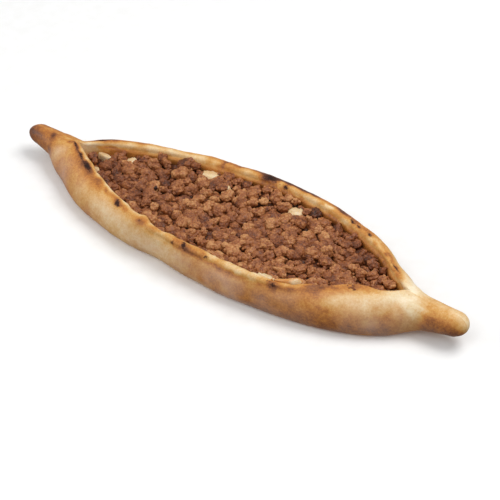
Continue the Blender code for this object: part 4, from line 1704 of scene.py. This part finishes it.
        # The points lean upwards, since the side that shows needs the finer faces.
        up = np.array([0.0, 0.0, 0.35])
        points, quads, proud, tone = [], [], [], []
        count = 0
        for crumb in crumbs:
            directions, faces = spheres[crumb.grid]
            directions = directions + up
            directions /= np.linalg.norm(directions, axis=1, keepdims=True)
            shape, relief = self.knot(crumb, directions)
            uneven = 0.30 * (1.0 - crumb.smoothness) * soft_noise(shape, 1.7, 47)
            points.append(shape + directions * uneven[:, None])
            quads.append(faces + count)
            proud.append(relief)
            tone.append(np.full(len(shape), crumb.tone))
            count += len(shape)
        values = {"proud": np.concatenate(proud), "tone": np.concatenate(tone)}
        piece = add_piece(name, np.concatenate(points) * MM, np.concatenate(quads), values)
        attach(piece, "root")
        return piece

    def standouts(self) -> list[Crumb]:
        """The crumbs whose places are given one by one."""
        found = []
        for x, y, top, radius, tone in STANDOUTS:
            found.append(Crumb((x, y, top - self.top_share * radius), radius, tone, self.standout_grid))
        smooth_dark_lump = Crumb((48.0, 43.5, 20.6), 5.4, 0.08, self.standout_grid, 0.35)
        peppercorn = Crumb((-70.5, -6.0, 21.6), 1.9, -0.25, SMALL_CRUMBS.grid, 0.8)
        return [*found, smooth_dark_lump, peppercorn]

    def spilled(self) -> list[Crumb]:
        """A few bits that fell on the near rim."""
        places = ((124.0, -24.0), (126.5, -25.2), (128.2, -23.8), (130.5, -24.6), (127.4, -21.6))
        found = []
        for n, (x, y) in enumerate(places):
            radius = 0.9 + 0.2 * (n % 3)
            top = float(self.form.crest_height(np.array([x * MM]), Side.NEAR)[0] / MM)
            found.append(Crumb((x, y, top - 0.2), radius, 0.28, BITS.grid))
        return found

    def add_core(self) -> bpy.types.Object:
        """Adds the core: the heap drawn in, with relief as fine as its smallest grains, dark as painted
        shade.
        """
        x = np.linspace(self.left_mm - 8.0, self.right_mm + 2.0, self.core_stations)
        far = self.wall(x, Side.FAR, self.top_mm - self.core_below_mm) + 0.4
        near = self.wall(x, Side.NEAR, self.top_mm - self.core_below_mm) + 0.4
        share = np.linspace(0.0, 1.0, self.core_across)[None, :]
        y = far[:, None] - (far + near)[:, None] * share
        places = np.broadcast_to(x[:, None], y.shape)
        flat = np.column_stack([places.ravel(), y.ravel()])
        spot = np.column_stack([flat, np.zeros(len(flat))])
        fine = 0.9 * soft_noise(spot, 4.0, 45) + 0.5 * soft_noise(spot, 1.9, 46)
        top = (self.top(flat) - self.core_below_mm + fine).reshape(y.shape)
        low = np.full(y.shape, self.core_foot_mm)
        rings = np.concatenate(
            [np.stack([places, y, top], axis=-1), np.stack([places, y, low], axis=-1)[:, ::-1]], axis=1
        )
        # The core's low tone and low proud make it dark: painted shade in the gaps between the crumbs.
        proud = np.concatenate([fine.reshape(y.shape) * 0.3 + 0.2, np.zeros(y.shape)], axis=1)
        count = proud.size + 2
        values = {"proud": np.append(proud.ravel(), [0.0, 0.0]), "tone": np.full(count, 0.16)}
        piece = closed_tube("mince_core", rings * MM, values)
        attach(piece, "root")
        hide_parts("meat_topping")
        return piece

    def build(self) -> list[bpy.types.Object]:
        """Builds the core and the crumbs, and puts them in place of the plain solid."""
        material = self.finish.build()
        fixed = self.standouts()
        large = self.strew(LARGE_CLUMPS, fixed)
        clumps = self.strew(CLUMPS, [*fixed, *large])
        crumbs = self.strew(CRUMBS, [*fixed, *large, *clumps])
        small = self.strew(SMALL_CRUMBS, [*fixed, *large, *clumps, *crumbs])
        bits = self.strew(BITS, [*fixed, *large, *clumps, *crumbs, *small])
        bed = self.strew(BED, [])
        pieces = [
            self.add_core(),
            self.add_crumbs("mince_standing_clumps", fixed),
            self.add_crumbs(LARGE_CLUMPS.name, large),
            self.add_crumbs(CLUMPS.name, clumps),
            self.add_crumbs(CRUMBS.name, crumbs),
            self.add_crumbs(SMALL_CRUMBS.name, small),
            self.add_crumbs(BITS.name, [*bits, *self.spilled()]),
            self.add_crumbs(BED.name, bed),
        ]
        for piece in pieces:
            piece.data.materials.append(material)
        counts = (len(large), len(clumps), len(crumbs), len(small), len(bits), len(bed))
        LOG.info("large clumps %d, clumps %d, crumbs %d, small %d, bits %d, bed %d", *counts)
        return pieces


# ---------------------------------------------------------------------------
# The studio
# ---------------------------------------------------------------------------


@dataclass
class Studio:
    """A white paper floor, three soft boxes, a pale sky, and the camera."""

    paper: PaperSweep
    floor_half: float = 3.0
    azimuth: float = math.radians(37.75)
    elevation: float = math.radians(36.70)
    distance: float = 1.2608
    aim: tuple[float, float, float] = (0.0258, -0.0105, 0.008)
    lens_mm: float = 120.5
    sensor_mm: float = 36.0
    box_size: tuple[float, float] = (1.0, 0.8)
    sky: float = 0.50
    low_sky: float = 0.34

    def add_floor(self) -> bpy.types.Object:
        """Adds the floor just under the bread."""
        half = self.floor_half
        points = np.array([[-half, -half, 0.0], [half, -half, 0.0], [half, half, 0.0], [-half, half, 0.0]])
        floor = add_piece("studio_floor", points, np.array([[0, 1, 2, 3]]), {})
        floor.location.z = -0.0004
        floor.data.materials.append(self.paper.build())
        floor.visible_diffuse = False
        floor.visible_glossy = False
        return floor

    def add_light(self, name: str, place: tuple[float, float, float], power: float) -> None:
        """Adds a soft box that faces the bread.

        Args:
            name: the light's name.
            place: where it stands.
            power: its power in watts.
        """
        lamp = bpy.data.lights.new(name, "AREA")
        lamp.shape = "RECTANGLE"
        lamp.size, lamp.size_y = self.box_size
        lamp.energy = power
        holder = bpy.data.objects.new(name, lamp)
        holder.location = place
        holder.rotation_euler = (-Vector(place)).to_track_quat("-Z", "Y").to_euler()
        bpy.context.scene.collection.objects.link(holder)

    def add_camera(self) -> None:
        """Adds the camera and makes it the scene's own."""
        camera = bpy.data.cameras.new("camera")
        camera.lens = self.lens_mm
        camera.sensor_width = self.sensor_mm
        camera.clip_start = 0.01
        holder = bpy.data.objects.new("camera", camera)
        back = Vector(
            (
                math.sin(self.azimuth) * math.cos(self.elevation),
                -math.cos(self.azimuth) * math.cos(self.elevation),
                math.sin(self.elevation),
            )
        )
        holder.location = Vector(self.aim) + back * self.distance
        holder.rotation_euler = back.to_track_quat("Z", "Y").to_euler()
        bpy.context.scene.collection.objects.link(holder)
        bpy.context.scene.camera = holder

    def add_sky(self) -> None:
        """Adds a white surrounding, dimmer below the horizon, as over a dark table."""
        world = bpy.data.worlds.new("studio_sky")
        world.use_nodes = True
        tree = world.node_tree
        tree.nodes.clear()
        direction = add_node(tree, "TexCoord").outputs["Generated"]
        height = add_node(tree, "SeparateXYZ", {0: direction}).outputs["Z"]
        strength = add_node(
            tree, "MapRange", {"Value": height, 1: -0.15, 2: 0.15, 3: self.low_sky, 4: self.sky}
        )
        light = add_node(
            tree, "Background", {"Color": (1.0, 1.0, 1.0, 1.0), "Strength": strength.outputs[0]}
        )
        add_node(tree, "OutputWorld", {"Surface": light.outputs[0]})
        bpy.context.scene.world = world

    def build(self) -> None:
        """Sets up everything round the bread."""
        self.add_floor()
        self.add_light("soft_box_above", (0.40, 0.50, 1.30), 12.0)
        self.add_light("soft_box_front", (0.10, -0.90, 1.20), 3.9)
        self.add_light("soft_box_left", (-1.30, -1.00, 0.60), 8.5)
        self.add_sky()
        self.add_camera()
        bpy.context.scene.view_settings.view_transform = "Standard"


def main() -> None:
    """Builds every piece in order and reports each one."""
    logging.basicConfig(level=logging.INFO, format="%(name)s: %(message)s")
    form = BreadForm()
    crust = Crust(form, BakedDough()).build()
    cheese = MeltedCheese()
    bead = CheeseDrip(form, cheese, "cheese_bead", 75.4, 78.4, (0.2, 0.6), 2.0)
    pieces = [crust, CheeseLayer(form, cheese).build(), CheeseDrip(form, cheese).build(), bead.build()]
    pieces += MinceHeap(form, FriedMince()).build()
    for piece in pieces:
        LOG.info("%s: %d faces", piece.name, len(piece.data.polygons))
    Studio(PaperSweep()).build()


if __name__ == "__main__":
    main()
